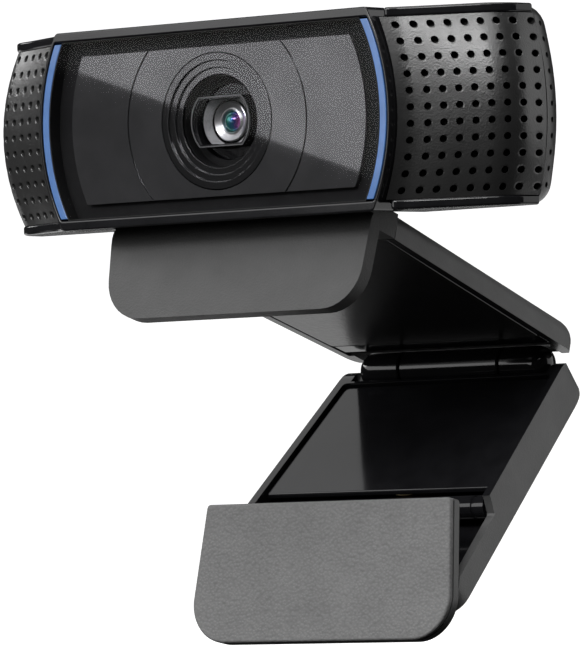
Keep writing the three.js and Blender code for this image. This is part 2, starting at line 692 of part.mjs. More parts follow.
function legShell() {
  const near = -0.4;
  const plan = taperPlan(near, LEG.end, 0, { atNear: 3.6, atFar: 4 });
  const outer = planPlate(plan, LEG.back, LEG.front, 4);
  const profile = new THREE.Shape();
  profile.moveTo(0.4, LEG.front);
  profile.lineTo(-RECESS_Y, LEG.front);
  profile.lineTo(-RECESS_Y - 0.8, LEG.low);
  profile.lineTo(-LEG.end, LEG.low);
  profile.lineTo(-LEG.end, LEG.back + 0.3);
  profile.lineTo(-LEG.end + 0.5, LEG.back);
  profile.lineTo(-3.2, LEG.back);
  profile.quadraticCurveTo(1.2, LEG.back, 1.2, LEG.back + 4);
  profile.closePath();
  const side = sidePlate(profile, -30, 30, 4);
  const floor = LEG.back + 0.95;
  const hollow = planPlate(taperPlan(3.4, LEG.end - 1.6, RIM, { atFar: 3 }), floor, 4);
  const stop = block([-30, 30], [-16, 2], [FOOT.back - 0.35, 12])
    .rotate([FOOT_ANGLE - LEG_ANGLE, 0, 0])
    .translate([0, -FOOT_AT.y, FOOT_AT.z]);
  const barrelRoom = barX(HINGE_RADIUS + GAP, -18, 18, { y: 0, z: 0 }, 24);
  const insertHole = barZ(INSERT.radius + GAP, -8, 0, { x: 0, y: -INSERT.y }, 24);
  const body = cut(outer.intersect(side), hollow, barrelRoom, insertHole);
  const extras = SIDES.flatMap(([, at]) => {
    const spot = { x: at * LEG_SCREW.x, y: LEG_SCREW.y };
    const ys = [-FOOT_AT.y - 1.5, -FOOT_AT.y + 1.5];
    const lug = block([19.8, 21.8], ys, [floor - 0.2, LEG.low - 0.1]);
    const boss = cut(barZ(2.2, floor - 0.2, -2.3, spot), barZ(1.1, floor + 0.2, -2, spot, 12));
    return [mirrored(lug, at), boss];
  });
  const pinBore = barX(0.95, -21.7, 21.7, { y: -FOOT_AT.y, z: FOOT_AT.z }, 10);
  return cut(join(body, ...extras), pinBore, stop);
}

function legPieces() {
  add(leg, 'leg_shell', MATERIAL.satin, legShell());
  const panel = planPlate(taperPlan(3.7, 28.4, RIM + GAP), -0.9, 0.1);
  add(leg, 'leg_panel', MATERIAL.gloss, panel);
  const hinge = { y: 0, z: 0 };
  const knuckle = cut(barX(HINGE_RADIUS, -KNUCKLE_HALF, KNUCKLE_HALF, hinge, 24), barX(1.4, -10, 10, hinge, 12));
  add(leg, 'leg_knuckle', MATERIAL.gloss, knuckle);
  const barEnd = halfWidthAt(BAR.y) - RIM - GAP;
  const bar = barX(BAR.radius, -barEnd, barEnd, { y: -BAR.y, z: BAR.z }, 20);
  add(leg, 'leg_bar', MATERIAL.gloss, bar);
  const at = { x: 0, y: -INSERT.y };
  const insert = cut(barZ(INSERT.radius, INSERT.seat, -1.3, at, 24), barZ(INSERT.bore, -7, -2.4, at, 20));
  add(leg, 'tripod_insert', MATERIAL.brass, insert);
  add(leg, 'foot_pin', MATERIAL.steel, barX(0.6, -21.5, 21.5, { y: -FOOT_AT.y, z: FOOT_AT.z }, 10));
  for (const [word, side] of SIDES) {
    const spot = { x: side * LEG_SCREW.x, y: LEG_SCREW.y };
    const screw = join(barZ(0.8, -4.4, -1.5, spot, 10), barZ(1.7, -2.0, -1.3, spot, 12));
    add(leg, `leg_screw_${word}`, MATERIAL.steel, screw);
  }
}

// ---------------------------------------------------------------- foot

const footAt = {
  y: hingeAt.y - FOOT_AT.y * Math.cos(rad(LEG_ANGLE)) - FOOT_AT.z * Math.sin(rad(LEG_ANGLE)),
  z: hingeAt.z - FOOT_AT.y * Math.sin(rad(LEG_ANGLE)) + FOOT_AT.z * Math.cos(rad(LEG_ANGLE)),
};
const foot = groupAt(part, footAt, FOOT_ANGLE);

function footPieces() {
  const { halfTop, halfLow, top, low, corner, topCorner } = FOOT;
  const flap = flapOutline(halfTop, halfLow, top, low, corner, topCorner);
  const seam = 3.2;
  add(foot, 'foot_pad', MATERIAL.pad, planPlate(flap, seam, FOOT.front, 5));
  let plate = planPlate(flap, FOOT.back, seam - 0.2, 5);
  const pin = { y: 0, z: 0 };
  for (const side of [-1, 1]) {
    const xs = side < 0 ? [-19.2, -16.2] : [16.2, 19.2];
    plate = join(plate, block(xs, [-1.3, 1.3], [0, FOOT.back + 0.2]), barX(1.3, xs[0], xs[1], pin, 14));
  }
  add(foot, 'foot_plate', MATERIAL.satin, cut(plate, barX(0.85, -20, 20, pin, 10)));
}

// ---------------------------------------------------------------- assembly

function wings() {
  const right = grille();
  for (const [word, side] of SIDES) {
    add(head, `${word}_grille`, MATERIAL.grille, mirrored(right, side));
  }
}

windowBlock();
lightGuides();
lensFunnel();
lensCarriage();
electronics();
wings();
trims();
rearParts();
tiltYoke();
armPieces();
legPieces();
footPieces();

export default part;
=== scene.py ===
"""Looks of a clip-on webcam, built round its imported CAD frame.

Shapes are drawn in millimetres in the frame of the body they belong to, and placed in metres.
Head: x to the right, y back from the window's front plane, z up from the lens axis.
Arm, leg and foot: y along the plate towards the back, z square to it.
"""

import json
import math

import bmesh
import bpy
from mathutils import Matrix, Vector


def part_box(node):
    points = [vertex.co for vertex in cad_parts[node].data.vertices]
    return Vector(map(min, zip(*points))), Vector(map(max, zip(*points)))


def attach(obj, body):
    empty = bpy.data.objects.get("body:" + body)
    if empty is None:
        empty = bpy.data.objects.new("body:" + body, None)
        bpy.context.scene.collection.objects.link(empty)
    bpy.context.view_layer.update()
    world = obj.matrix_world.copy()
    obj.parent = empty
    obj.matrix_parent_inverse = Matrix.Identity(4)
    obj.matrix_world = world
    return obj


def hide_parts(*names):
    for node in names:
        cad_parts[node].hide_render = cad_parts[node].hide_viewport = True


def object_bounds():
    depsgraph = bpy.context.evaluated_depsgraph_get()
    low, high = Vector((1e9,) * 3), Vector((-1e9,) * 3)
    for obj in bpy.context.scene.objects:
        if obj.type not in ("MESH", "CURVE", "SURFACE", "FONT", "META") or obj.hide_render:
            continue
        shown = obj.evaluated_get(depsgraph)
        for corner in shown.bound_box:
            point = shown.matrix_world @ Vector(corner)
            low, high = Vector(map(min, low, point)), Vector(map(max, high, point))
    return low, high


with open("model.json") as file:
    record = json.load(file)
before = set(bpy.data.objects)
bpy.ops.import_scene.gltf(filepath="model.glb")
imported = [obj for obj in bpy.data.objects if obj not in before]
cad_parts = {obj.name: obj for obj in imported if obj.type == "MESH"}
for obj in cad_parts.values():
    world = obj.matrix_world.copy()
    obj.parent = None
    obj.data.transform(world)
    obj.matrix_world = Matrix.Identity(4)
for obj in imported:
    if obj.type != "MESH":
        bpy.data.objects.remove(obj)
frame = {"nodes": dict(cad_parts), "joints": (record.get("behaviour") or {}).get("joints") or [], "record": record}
cad_low, cad_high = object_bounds()

MM = 0.001
COS, SIN, RAD = math.cos, math.sin, math.radians

# Angles of the clip's plates, from horizontal, rising towards the back
ARM_ANGLE = -18.6
LEG_ANGLE = 39.3
FOOT_ANGLE = 78.8
LIP_LEAN = 3.0

SEAM_Y = 16.8
BLOCK_RADIUS = 31.6
BLOCK_DEPTH = 5.0
HALF_HEIGHT = 14.5
BAR_Z = 13.1  # the bars above and below the window start at this height
WINDOW_SINK = 0.05  # the window's face lies this far behind the block's


# ------------ places

def joint_place(name):
    return next(Vector(j["pos_m"]) for j in frame["joints"] if j["name"] == name)


def turned_about_x(place, degrees):
    return Matrix.Translation(place) @ Matrix.Rotation(RAD(degrees), 4, "X")


window_low, window_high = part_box("front_window")
LENS_PLACE = Vector((0, window_low.y - WINDOW_SINK * MM, (window_low.z + window_high.z) / 2))
SCREEN_REST = Vector(frame["record"]["mounts"][0]["pos_m"])

HEAD = Matrix.Translation(LENS_PLACE)
ARM = turned_about_x(SCREEN_REST, ARM_ANGLE)
LEG = turned_about_x(joint_place("leg_fold"), LEG_ANGLE)
FOOT = turned_about_x(joint_place("foot_tilt"), FOOT_ANGLE)


def local(place, point):
    """A point of the row frame, in metres, as millimetres in a body's own frame."""
    return (place.inverted() @ Vector(point)) / MM


PLACES = {"head": HEAD, "lens_carriage": HEAD, "clip_base": ARM, "leg": LEG, "foot": FOOT}
HINGE = local(ARM, joint_place("leg_fold"))
PIN = local(LEG, joint_place("foot_tilt"))


# ------------ materials

class Nodes:
    """A material's node tree, with short ways to add and join its nodes."""

    def __init__(self, name):
        self.material = bpy.data.materials.new(name)
        self.material.use_nodes = True
        self.tree = self.material.node_tree
        self.tree.nodes.clear()
        self.output = self.tree.nodes.new("ShaderNodeOutputMaterial")
        self.place = self.add("TexCoord").outputs["Object"]

    def add(self, kind, inputs=None, **settings):
        node = self.tree.nodes.new("ShaderNode" + kind)
        for key, value in settings.items():
            setattr(node, key, value)
        for key, value in (inputs or {}).items():
            if isinstance(value, bpy.types.NodeSocket):
                self.tree.links.new(value, node.inputs[key])
            else:
                node.inputs[key].default_value = value
        return node

    def noise(self, scale, detail):
        inputs = {"Vector": self.place, "Scale": scale, "Detail": detail, "Roughness": 0.55}
        return self.add("TexNoise", inputs).outputs["Fac"]

    def ramp(self, factor, low, high, start=0.3, end=0.7):
        """Colours from low to high as factor goes from start to end."""
        node = self.add("ValToRGB", {"Fac": factor})
        stops = node.color_ramp.elements
        stops[0].position, stops[0].color = start, (*low, 1)
        stops[1].position, stops[1].color = end, (*high, 1)
        return node.outputs["Color"]

    def span(self, value, low, high):
        """Factor 0..1 as a number from low to high."""
        inputs = {"Value": value, "To Min": low, "To Max": high}
        return self.add("MapRange", inputs).outputs["Result"]

    def bump(self, height, depth, under=None):
        """Normal of a surface raised by height times depth, in metres, over the bump under it."""
        inputs = {"Height": height, "Distance": depth, "Strength": 1.0}
        if under is not None:
            inputs["Normal"] = under
        return self.add("Bump", inputs).outputs["Normal"]

    def finish(self, shader):
        self.tree.links.new(shader, self.output.inputs["Surface"])
        return self.material

    def principled(self, color, roughness, normal=None, **constants):
        inputs = {"Base Color": color, "Roughness": roughness}
        if normal is not None:
            inputs["Normal"] = normal
        inputs.update({key.replace("_", " "): value for key, value in constants.items()})
        return self.finish(self.add("BsdfPrincipled", inputs).outputs["BSDF"])


def shade(level, tint=(1, 1, 1)):
    return tuple(level * t for t in tint)


def moulded(name, level, roughness, grain_size, grain_depth, specular=0.45):
    """Moulded plastic with a fine spark-eroded grain; grain_size is in metres."""
    mottle = 0.12
    n = Nodes(name)
    cloud = n.noise(180, 3)
    color = n.ramp(cloud, shade(level * (1 - mottle)), shade(level * (1 + mottle)))
    grain_inputs = {"Vector": n.place, "Scale": 1 / grain_size, "Randomness": 1.0}
    cells = n.add("TexVoronoi", grain_inputs).outputs["Distance"]
    fine = n.noise(2.2 / grain_size, 2)
    normal = n.bump(fine, grain_depth * 0.5, under=n.bump(cells, grain_depth))
    rough = n.span(n.noise(900, 3), roughness - 0.06, roughness + 0.06)
    return n.principled(color, rough, normal, Specular_IOR_Level=specular)


def pebbled(name, level, pebble_size, depth, roughness=0.6):
    """Soft rubbery skin covered in small raised pebbles, with painted shade in the seams between them."""
    n = Nodes(name)
    inputs = {"Vector": n.place, "Scale": 1 / pebble_size, "Randomness": 0.9}
    pebbles = n.add("TexVoronoi", inputs, feature="SMOOTH_F1").outputs["Distance"]
    cloud = n.noise(140, 3)
    top = n.ramp(cloud, shade(level * 0.92), shade(level * 1.08))
    # Painted shade: the colour darkens towards the seams between the pebbles.
    seam = n.ramp(pebbles, (1, 1, 1), (0.8, 0.8, 0.8), 0.25, 0.75)
    factor, first, second = 0, 6, 7  # the node's sockets for mixing colours
    color = n.add("Mix", {factor: 1.0, first: top, second: seam}, data_type="RGBA",
                  blend_type="MULTIPLY")
    normal = n.bump(pebbles, -depth, under=n.bump(n.noise(4.5 / pebble_size, 2), depth * 0.25))
    rough = n.span(n.noise(700, 3), roughness - 0.08, roughness + 0.08)
    return n.principled(color.outputs[2], rough, normal, Specular_IOR_Level=0.35)


def glossy(name, color):
    """Polished plastic: a slow waviness from moulding, and a fine dust that dulls it in spots."""
    roughness = 0.09
    n = Nodes(name)
    base = n.ramp(n.noise(260, 3), shade(0.8, color), shade(1.2, color))
    dust = n.noise(5200, 2)
    rough = n.span(dust, roughness * 0.7, roughness * 1.5)
    wave = n.bump(n.noise(90, 1), 0.00004)
    return n.principled(base, rough, wave, Specular_IOR_Level=0.4, Coat_Weight=0.12,
                        Coat_Roughness=0.04)


def glazed(name, level, roughness):
    """Dark satin plastic with a fine grain under a smooth, bright clear coat."""
    n = Nodes(name)
    cloud = n.noise(300, 3)
    color = n.ramp(cloud, shade(level * 0.9), shade(level * 1.1))
    grain = n.noise(3300, 2)
    rough = n.span(grain, roughness - 0.05, roughness + 0.05)
    return n.principled(color, rough, n.bump(grain, 0.000004), Specular_IOR_Level=0.2,
                        Coat_Weight=1.0, Coat_Roughness=0.02, Coat_IOR=1.9)


def metal(name, level, tint, roughness):
    """Turned or rolled metal, its fine marks packed closely along y."""
    ridges = (1, 60, 1)
    n = Nodes(name)
    stretch = n.add("Mapping", {"Vector": n.place, "Scale": ridges})
    inputs = {"Vector": stretch.outputs["Vector"], "Scale": 900, "Detail": 4}
    marks = n.add("TexNoise", inputs).outputs["Fac"]
    color = n.ramp(marks, shade(level * 0.8, tint), shade(level * 1.1, tint))
    rough = n.span(marks, roughness - 0.08, roughness + 0.1)
    return n.principled(color, rough, n.bump(marks, 0.00001), Metallic=1.0)


def clear_cover(name):
    """Hard-coated clear cover: faint smoke tint, mirror gloss that grows at steep angles."""
    base_gloss, edge_gloss, power = 0.005, 0.9, 5.0
    n = Nodes(name)
    smudge = n.noise(120, 4)
    clear = n.add("BsdfTransparent",
                  {"Color": n.ramp(smudge, (0.80, 0.80, 0.81), (0.86, 0.86, 0.87))})
    rough = n.span(smudge, 0.02, 0.05)
    gloss = n.add("BsdfGlossy", {"Roughness": rough})
    facing = n.add("LayerWeight", {"Blend": 0.5}).outputs["Facing"]
    steep = n.add("Math", {0: facing, 1: power}, operation="POWER").outputs["Value"]
    share = n.add("Math", {0: steep, 1: edge_gloss, 2: base_gloss},
                  operation="MULTIPLY_ADD").outputs["Value"]
    shaders = {"Fac": share, 1: clear.outputs["BSDF"], 2: gloss.outputs["BSDF"]}
    return n.finish(n.add("MixShader", shaders).outputs["Shader"])


def coated_lens(name):
    """Lens glass with its coating's coloured reflection painted on, running from teal through green and blue to
    violet across it.
    """
    reach = 0.0013  # metres from the middle to where the colours end
    n = Nodes(name)
    # Painted reflection: the coating's colours are laid out along x across the lens, not by the light.
    across_lens = n.add("SeparateXYZ", {"Vector": n.place}).outputs["X"]
    spread = {"Value": across_lens, "From Min": -reach, "From Max": reach}
    share = n.add("MapRange", spread).outputs["Result"]
    swirl = n.span(n.noise(1100, 2), -0.35, 0.35)
    mixed = n.add("Math", {0: share, 1: swirl}, operation="ADD").outputs["Value"]
    ramp = n.add("ValToRGB", {"Fac": mixed})
    stops = ramp.color_ramp.elements
    stops[0].position, stops[0].color = 0.1, (0.01, 0.13, 0.17, 1)
    stops[1].position, stops[1].color = 0.95, (0.42, 0.07, 0.36, 1)
    stops.new(0.4).color = (0.02, 0.38, 0.28, 1)
    stops.new(0.75).color = (0.02, 0.08, 0.40, 1)
    rough = n.span(n.noise(2000, 2), 0.05, 0.12)
    return n.principled(ramp.outputs["Color"], rough, Metallic=0.6, Coat_Weight=1.0,
                        Coat_Roughness=0.02)


def milky_light(name, tint):
    """Milky light guide: cloudy, waxy plastic under a thin coat."""
    n = Nodes(name)
    cloud = n.noise(420, 3)
    color = n.ramp(cloud, shade(0.9, tint), shade(1.1, tint))
    rough = n.span(n.noise(1500, 2), 0.28, 0.42)
    return n.principled(color, rough, n.bump(cloud, 0.00003), Subsurface_Weight=0.2,
                        Subsurface_Radius=(0.0006, 0.0008, 0.0012), Coat_Weight=0.4)


def circuit_board(name):
    n = Nodes(name)
    traces = n.add("TexBrick", {
        "Vector": n.place, "Scale": 260, "Color1": (0.02, 0.12, 0.06, 1),
        "Color2": (0.03, 0.17, 0.08, 1), "Mortar": (0.05, 0.24, 0.12, 1), "Mortar Size": 0.03,
    })
    normal = n.bump(traces.outputs["Fac"], 0.00003)
    rough = n.span(n.noise(800, 2), 0.35, 0.5)
    return n.principled(traces.outputs["Color"], rough, normal)


def backdrop_paper(name):
    """White paper that glows a little, so that it stays evenly pale."""
    n = Nodes(name)
    color = n.ramp(n.noise(6, 2), (0.78, 0.78, 0.78), (0.80, 0.80, 0.80))
    return n.principled(color, 0.9, Emission_Color=(1, 1, 1, 1), Emission_Strength=0.8)


GLOSS = glossy("gloss_black", (0.009, 0.009, 0.010))
GLOSS_CLIP = glossy("gloss_black_clip", (0.008, 0.008, 0.009))
# Also painted shade: the wings' hole walls and the black backing behind them.
MATT_BLACK = moulded("window_border", 0.006, 0.8, 0.0003, 0.000004)
SHELL = moulded("head_shell", 0.016, 0.31, 0.00028, 0.000021, 0.9)
CLIP = moulded("clip_shell", 0.078, 0.42, 0.00030, 0.00002)
LIP_SKIN = moulded("lip_skin", 0.039, 0.5, 0.00032, 0.00003)
PAD = pebbled("grip_pad", 0.148, 0.00042, 0.00009)
UNDERSIDE = moulded("clip_underside", 0.010, 0.24, 0.0005, 0.00001)
INLAY = glazed("inlay", 0.044, 0.5)
FUNNEL = glazed("funnel", 0.006, 0.5)
GLASS = clear_cover("window_glass")
LENS = coated_lens("lens_glass")
LIGHT = milky_light("light_guide", (0.060, 0.150, 0.37))
BLACK = moulded("component", 0.02, 0.4, 0.0002, 0.00001)
RUBBER = pebbled("rubber", 0.02, 0.0003, 0.00003, 0.7)
STEEL = metal("steel", 0.6, (1, 1, 1), 0.28)
SATIN_SILVER = moulded("satin_silver", 0.45, 0.28, 0.0003, 0.000004, 0.9)
RING_METAL = metal("lens_ring_metal", 0.9, (1, 1, 1), 0.3)
# Painted highlight: light grey for the light caught on the lens hood's front edge.
RIM_HIGHLIGHT = moulded("hood_rim_highlight", 0.16, 0.3, 0.0003, 0.000004)
BRASS = metal("brass", 0.65, (1.0, 0.78, 0.42), 0.3)
BOARD = circuit_board("board")


# ------------ outlines

def arc(radius, start, end, steps, centre=(0, 0)):
    """Points from start to end degrees, both included."""
    turns = [RAD(start + (end - start) * i / steps) for i in range(steps + 1)]
    return [(centre[0] + radius * COS(a), centre[1] + radius * SIN(a)) for a in turns]


def curve(start, control, end, steps):
    """Points of a quadratic curve, both ends included."""
    a, b, c = Vector(start), Vector(control), Vector(end)
    ts = [i / steps for i in range(steps + 1)]
    return [tuple(a * (1 - t) ** 2 + b * 2 * t * (1 - t) + c * t * t) for t in ts]


def rounded(points, radius, steps=5):
    """The outline with its real corners rounded off. Points that only make up an arc stay."""
    least_turn = 25
    out = []
    for i, point in enumerate(points):
        corner = Vector(point)
        before = Vector(points[i - 1]) - corner
        after = Vector(points[(i + 1) % len(points)]) - corner
        turn = math.pi - before.angle(after)
        if math.degrees(turn) < least_turn:
            out.append(point)
            continue
        reach = radius * math.tan(turn / 2)
        reach = min(reach, 0.45 * before.length, 0.45 * after.length)
        start = corner + before.normalized() * reach
        end = corner + after.normalized() * reach
        out += curve(start, corner, end, steps)
    return out


def lens_outline(radius, half_height, steps=28):
    """Flat top and bottom, and sides that are arcs about the lens axis."""
    angle = math.degrees(math.asin(half_height / radius))
    right = arc(radius, -angle, angle, steps)
    left = arc(radius, 180 - angle, 180 + angle, steps)
    return right + left


HINGE_HALF_WIDTH, WIDENING = 20.2, 0.06


def half_width(far):
    """Half the clip's width, `far` millimetres from the hinge."""
    return HINGE_HALF_WIDTH + WIDENING * far


# ------------ solids

# How an outline's two axes and its depth become x, y and z
PLAN = Matrix.Identity(4)
FRONT = Matrix(((1, 0, 0), (0, 0, 1), (0, 1, 0))).to_4x4()
SIDE = Matrix(((0, 0, 1), (1, 0, 0), (0, 1, 0))).to_4x4()


def mesh_of(name, points, faces):
    """A mesh with its doubled points joined and its faces turned outwards."""
    mesh = bpy.data.meshes.new(name)
    mesh.from_pydata([tuple(p) for p in points], [], faces)
    work = bmesh.new()
    work.from_mesh(mesh)
    bmesh.ops.remove_doubles(work, verts=work.verts, dist=1e-4)
    bmesh.ops.recalc_face_normals(work, faces=work.faces)
    work.to_mesh(mesh)
    work.free()
    return mesh


def loft(name, rings, looped=False):
    """Skin over rings of equal length. Its ends are closed, or joined to each other if looped."""
    count = len(rings[0])
    points = [p for ring in rings for p in ring]
    faces = []
    last = len(rings) if looped else len(rings) - 1
    for j in range(last):
        for i in range(count):
            a, b = j * count + i, j * count + (i + 1) % count
            k = (j + 1) % len(rings) * count
            faces.append((a, b, k + (i + 1) % count, k + i))
    if not looped:
        faces.append(tuple(range(count)))
        faces.append(tuple(range(len(points) - count, len(points))))
    return mesh_of(name, points, faces)


def prism(name, outline, low, high, turn=PLAN):
    """Outline extruded from low to high. PLAN draws (x, y), FRONT (x, z), SIDE (y, z)."""
    rings = [[turn @ Vector((a, b, level)) for a, b in outline] for level in (low, high)]
    return loft(name, rings)


def ring_prism(name, outer, inner, low, high):
    """A ring between two front outlines that have the same number of points."""
    rings = []
    for outline, level in ((outer, low), (outer, high), (inner, high), (inner, low)):
        rings.append([FRONT @ Vector((a, b, level)) for a, b in outline])
    return loft(name, rings, looped=True)


AXES = {"X": SIDE, "Y": FRONT, "Z": PLAN}


def turned_piece(name, profile, steps=72, axis="Y", centre=(0, 0, 0)):
    """A closed profile of (radius, distance along the axis) turned about it."""
    turn = Matrix.Translation(centre) @ AXES[axis]
    angles = [2 * math.pi * i / steps for i in range(steps)]
    rings = [[turn @ Vector((r * COS(a), r * SIN(a), d)) for r, d in profile] for a in angles]
    return loft(name, rings, looped=True)


def linked(name, data):
    """A new object in the scene."""
    obj = bpy.data.objects.new(name, data)
    bpy.context.scene.collection.objects.link(obj)
    return obj


def show(name, mesh, body, material, replaces=(), bevel=0.0, steps=3, angle=32, other=None):
    """Puts a millimetre mesh in place as a finished piece that rides on a body. Its edges are sharp
    above angle, in degrees, and bevelled there if bevel is given. Other is a second material with a
    test of a face's centre and normal for where it goes."""
    mesh.materials.clear()
    mesh.materials.append(material)
    if other:
        second, belongs = other
        mesh.materials.append(second)
        for face in mesh.polygons:
            face.material_index = int(belongs(face.center, face.normal))
    mesh.transform(PLACES[body] @ Matrix.Scale(MM, 4))
    obj = linked(name, mesh)
    mesh.shade_smooth()
    mesh.set_sharp_from_angle(angle=RAD(angle))
    if bevel:
        edge = obj.modifiers.new("edges", "BEVEL")
        edge.width = bevel * MM
        edge.segments = steps
        edge.limit_method = "ANGLE"
        edge.angle_limit = RAD(angle)
        edge.harden_normals = True
    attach(obj, body)
    if replaces:
        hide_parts(*replaces)


def carved(mesh, cutters, operation="DIFFERENCE"):
    """The mesh with other millimetre meshes cut from it, joined to it or kept as its bounds."""
    base = linked("carve_base", mesh)
    tools = []
    for i, cutter in enumerate(cutters):
        tool = linked(f"carve_tool_{i}", cutter)
        tools.append(tool)
        step = base.modifiers.new(f"step_{i}", "BOOLEAN")
        step.operation = operation
        step.object = tool
        step.solver = "EXACT"
    graph = bpy.context.evaluated_depsgraph_get()
    result = bpy.data.meshes.new_from_object(base.evaluated_get(graph))
    for obj in [base, *tools]:
        bpy.data.objects.remove(obj)
    return result


def box_mesh(name, xs, ys, zs):
    return prism(name, [(xs[0], ys[0]), (xs[1], ys[0]), (xs[1], ys[1]), (xs[0], ys[1])], *zs)


def rod(name, radius, low, high, axis, centre=(0, 0, 0), steps=48):
    profile = [(radius, low), (radius, high), (0, high), (0, low)]
    return turned_piece(name, profile, steps, axis=axis, centre=centre)


SIDES = (("left", -1), ("right", 1))


def mirrored(mesh, side):
    """The right-hand mesh, or its mirror image for the left side."""
    if side < 0:
        mesh.transform(Matrix.Scale(-1, 4, (1, 0, 0)))
        mesh.flip_normals()
    return mesh


# ------------ head: window block

def window_block():
    outer = rounded(lens_outline(BLOCK_RADIUS, HALF_HEIGHT), 0.9)
    inner = rounded(lens_outline(31.15, BAR_Z - 0.05), 0.5)
    bezel = ring_prism("bezel", outer, inner, 0, BLOCK_DEPTH)
    show("block_bezel", bezel, "head", GLOSS, ["window_bezel"], 0.3, 4)

    glass_thick = 1.0
    outline = rounded(lens_outline(29.62, BAR_Z - 0.22), 0.4)
    glass = prism("glass", outline, WINDOW_SINK, WINDOW_SINK + glass_thick, FRONT)
    show("window_cover", glass, "head", GLASS, ["front_window"])

    front, back = 1.35, 2.0
    panel = prism("panel", rounded(lens_outline(26.5, 10.85, 40), 1.4, 6), front, back, FRONT)
    near, far, floor = 15.98, 16.25, 1.62
    groove = turned_piece("groove", [(near, 1.2), (near, floor), (far, floor), (far, 1.2)], 160)
    panel = carved(panel, [groove, rod("hole", 10.0, 0.5, 3, "Y", steps=120)])
    show("inlay", panel, "head", INLAY, ["inlay_panel"], 0.06, 2)

    mask = prism("mask", lens_outline(29.5, BAR_Z - 0.25), 2.2, 3, FRONT)
    mask = carved(mask, [rod("mask_hole", 10.05, 1, 4, "Y", steps=96)])
    show("mask", mask, "head", MATT_BLACK, ["window_mask"])


def window_liner():
    """Thin black wall between the window and the light strips, so that only their fronts show."""
    outer, inner = lens_outline(29.82, BAR_Z - 0.08), lens_outline(29.66, BAR_Z - 0.2)
    liner = ring_prism("liner", outer, inner, 0.08, 4.6)
    show("window_liner", liner, "head", MATT_BLACK)


def light_guides():
    """Blue strips between the bezel and the window, whose sides are arcs about the lens axis."""
    top = BAR_Z - 0.3
    outer, inner = 31.0, 29.85
    outer_angle = math.degrees(math.asin(top / outer))
    inner_angle = math.degrees(math.asin(top / inner))
    outline = arc(outer, -outer_angle, outer_angle, 30) + arc(inner, inner_angle, -inner_angle, 30)
    for word, side in SIDES:
        strip = mirrored(prism("strip", outline, 0.05, 4.6, FRONT), side)
        node = f"{word}_light_guide"
        show(f"{word}_light_strip", strip, "head", LIGHT, [node], 0.12, 2)


def flat_sided(radius, half_height, front, back):
    """A short cylinder about the lens axis with its top and bottom cut flat."""
    return prism("flat_sided", lens_outline(radius, half_height, 24), front, back, FRONT)


def lens_funnel():
    """Stepped funnel that narrows towards the lens, and the black throat behind it."""
    radii, depths = (9.86, 8.8, 7.77, 6.76), (1.35, 1.7, 2.05)
    back = 2.6
    steps = []
    for wide, narrow, depth in zip(radii, radii[1:], depths):
        steps += [(wide, depth), (narrow, depth)]
    mesh = turned_piece("funnel", steps + [(radii[-1], back), (radii[0], back)], 128)
    show("lens_funnel", mesh, "head", FUNNEL, ["lens_bezel"], 0.07, 2)
    profile = [(6.7, 2.62), (6.6, 4.4), (5.6, 4.4), (5.6, 5.0), (9.8, 5.0), (9.8, 2.62)]
    throat = turned_piece("throat", profile, 128)
    show("funnel_throat", throat, "head", MATT_BLACK)


def lens_hood():
    """Hood with two flats on a round flange, a silver cone inside it, and a painted highlight on its front edge: a
    thin ring of light grey where light catches it.
    """
    outer, outer_flat, inner, inner_flat = 5.3, 3.65, 4.85, 3.25
    bore, front, floor, back = 3.35, 2.3, 5.0, 5.9
    profile = [(bore, back), (bore, floor), (inner, floor), (inner, front), (outer, front),
               (outer, 5.3), (6.4, 5.3), (6.4, back)]
    tube = turned_piece("shroud", profile, 96)
    walls = flat_sided(outer, outer_flat, front, 5.25)
    room = flat_sided(inner, inner_flat, 1, floor)
    walls = carved(walls, [room, rod("bore", bore, 1, 7, "Y")])
    flange = carved(tube, [box_mesh("flange_keep", (-7, 7), (5.2, 7), (-7, 7))], "INTERSECT")
    shroud = carved(walls, [flange], "UNION")
    show("lens_hood", shroud, "head", GLOSS, ["lens_shroud"], 0.08, 2)
    cone = turned_piece("cone", [(bore, 4.95), (3.3, 4.7), (4.1, 3.8), (4.25, 3.85), (4.25, 4.95)], 96)
    cone = carved(cone, [box_mesh("cone_keep", (-7, 7), (3, 6), (-3.2, 3.2))], "INTERSECT")
    show("lens_cone", cone, "head", SATIN_SILVER)
    # Painted highlight: a thin light grey ring laid on the hood's front edge.
    width = 0.18
    edges = lens_outline(outer, outer_flat), lens_outline(outer - width, outer_flat - width)
    rim = ring_prism("rim", *edges, front - 0.1, front + 0.02)
    show("hood_rim_highlight", rim, "head", RIM_HIGHLIGHT)


def lens_stack():
    barrel = [(1.95, 5.5), (2.2, 5.2), (2.95, 5.1), (3.0, 5.3), (3.0, 10.3), (1.95, 10.3)]
    show("lens_tube", turned_piece("tube", barrel), "lens_carriage", BLACK,
         ["lens_barrel"])
    ring = [(1.5, 5.2), (1.58, 4.9), (1.72, 4.8), (1.86, 4.86), (1.92, 5.0), (2.62, 4.68),
            (2.76, 4.6), (2.9, 4.68), (2.9, 5.05), (1.7, 5.25)]
    show("lens_ring", turned_piece("ring", ring), "lens_carriage", RING_METAL,
         ["lens_retainer"])
    radius, rise, edge = 1.55, 1.4, 5.75
    turns = [RAD(a) for a in range(0, 91, 10)]
    dome = [(radius * SIN(a), edge - rise * COS(a)) for a in turns]
    show("front_glass", turned_piece("dome", dome + [(0, 6.2)]), "lens_carriage", LENS,
         ["front_lens"])


# ------------ head: wings

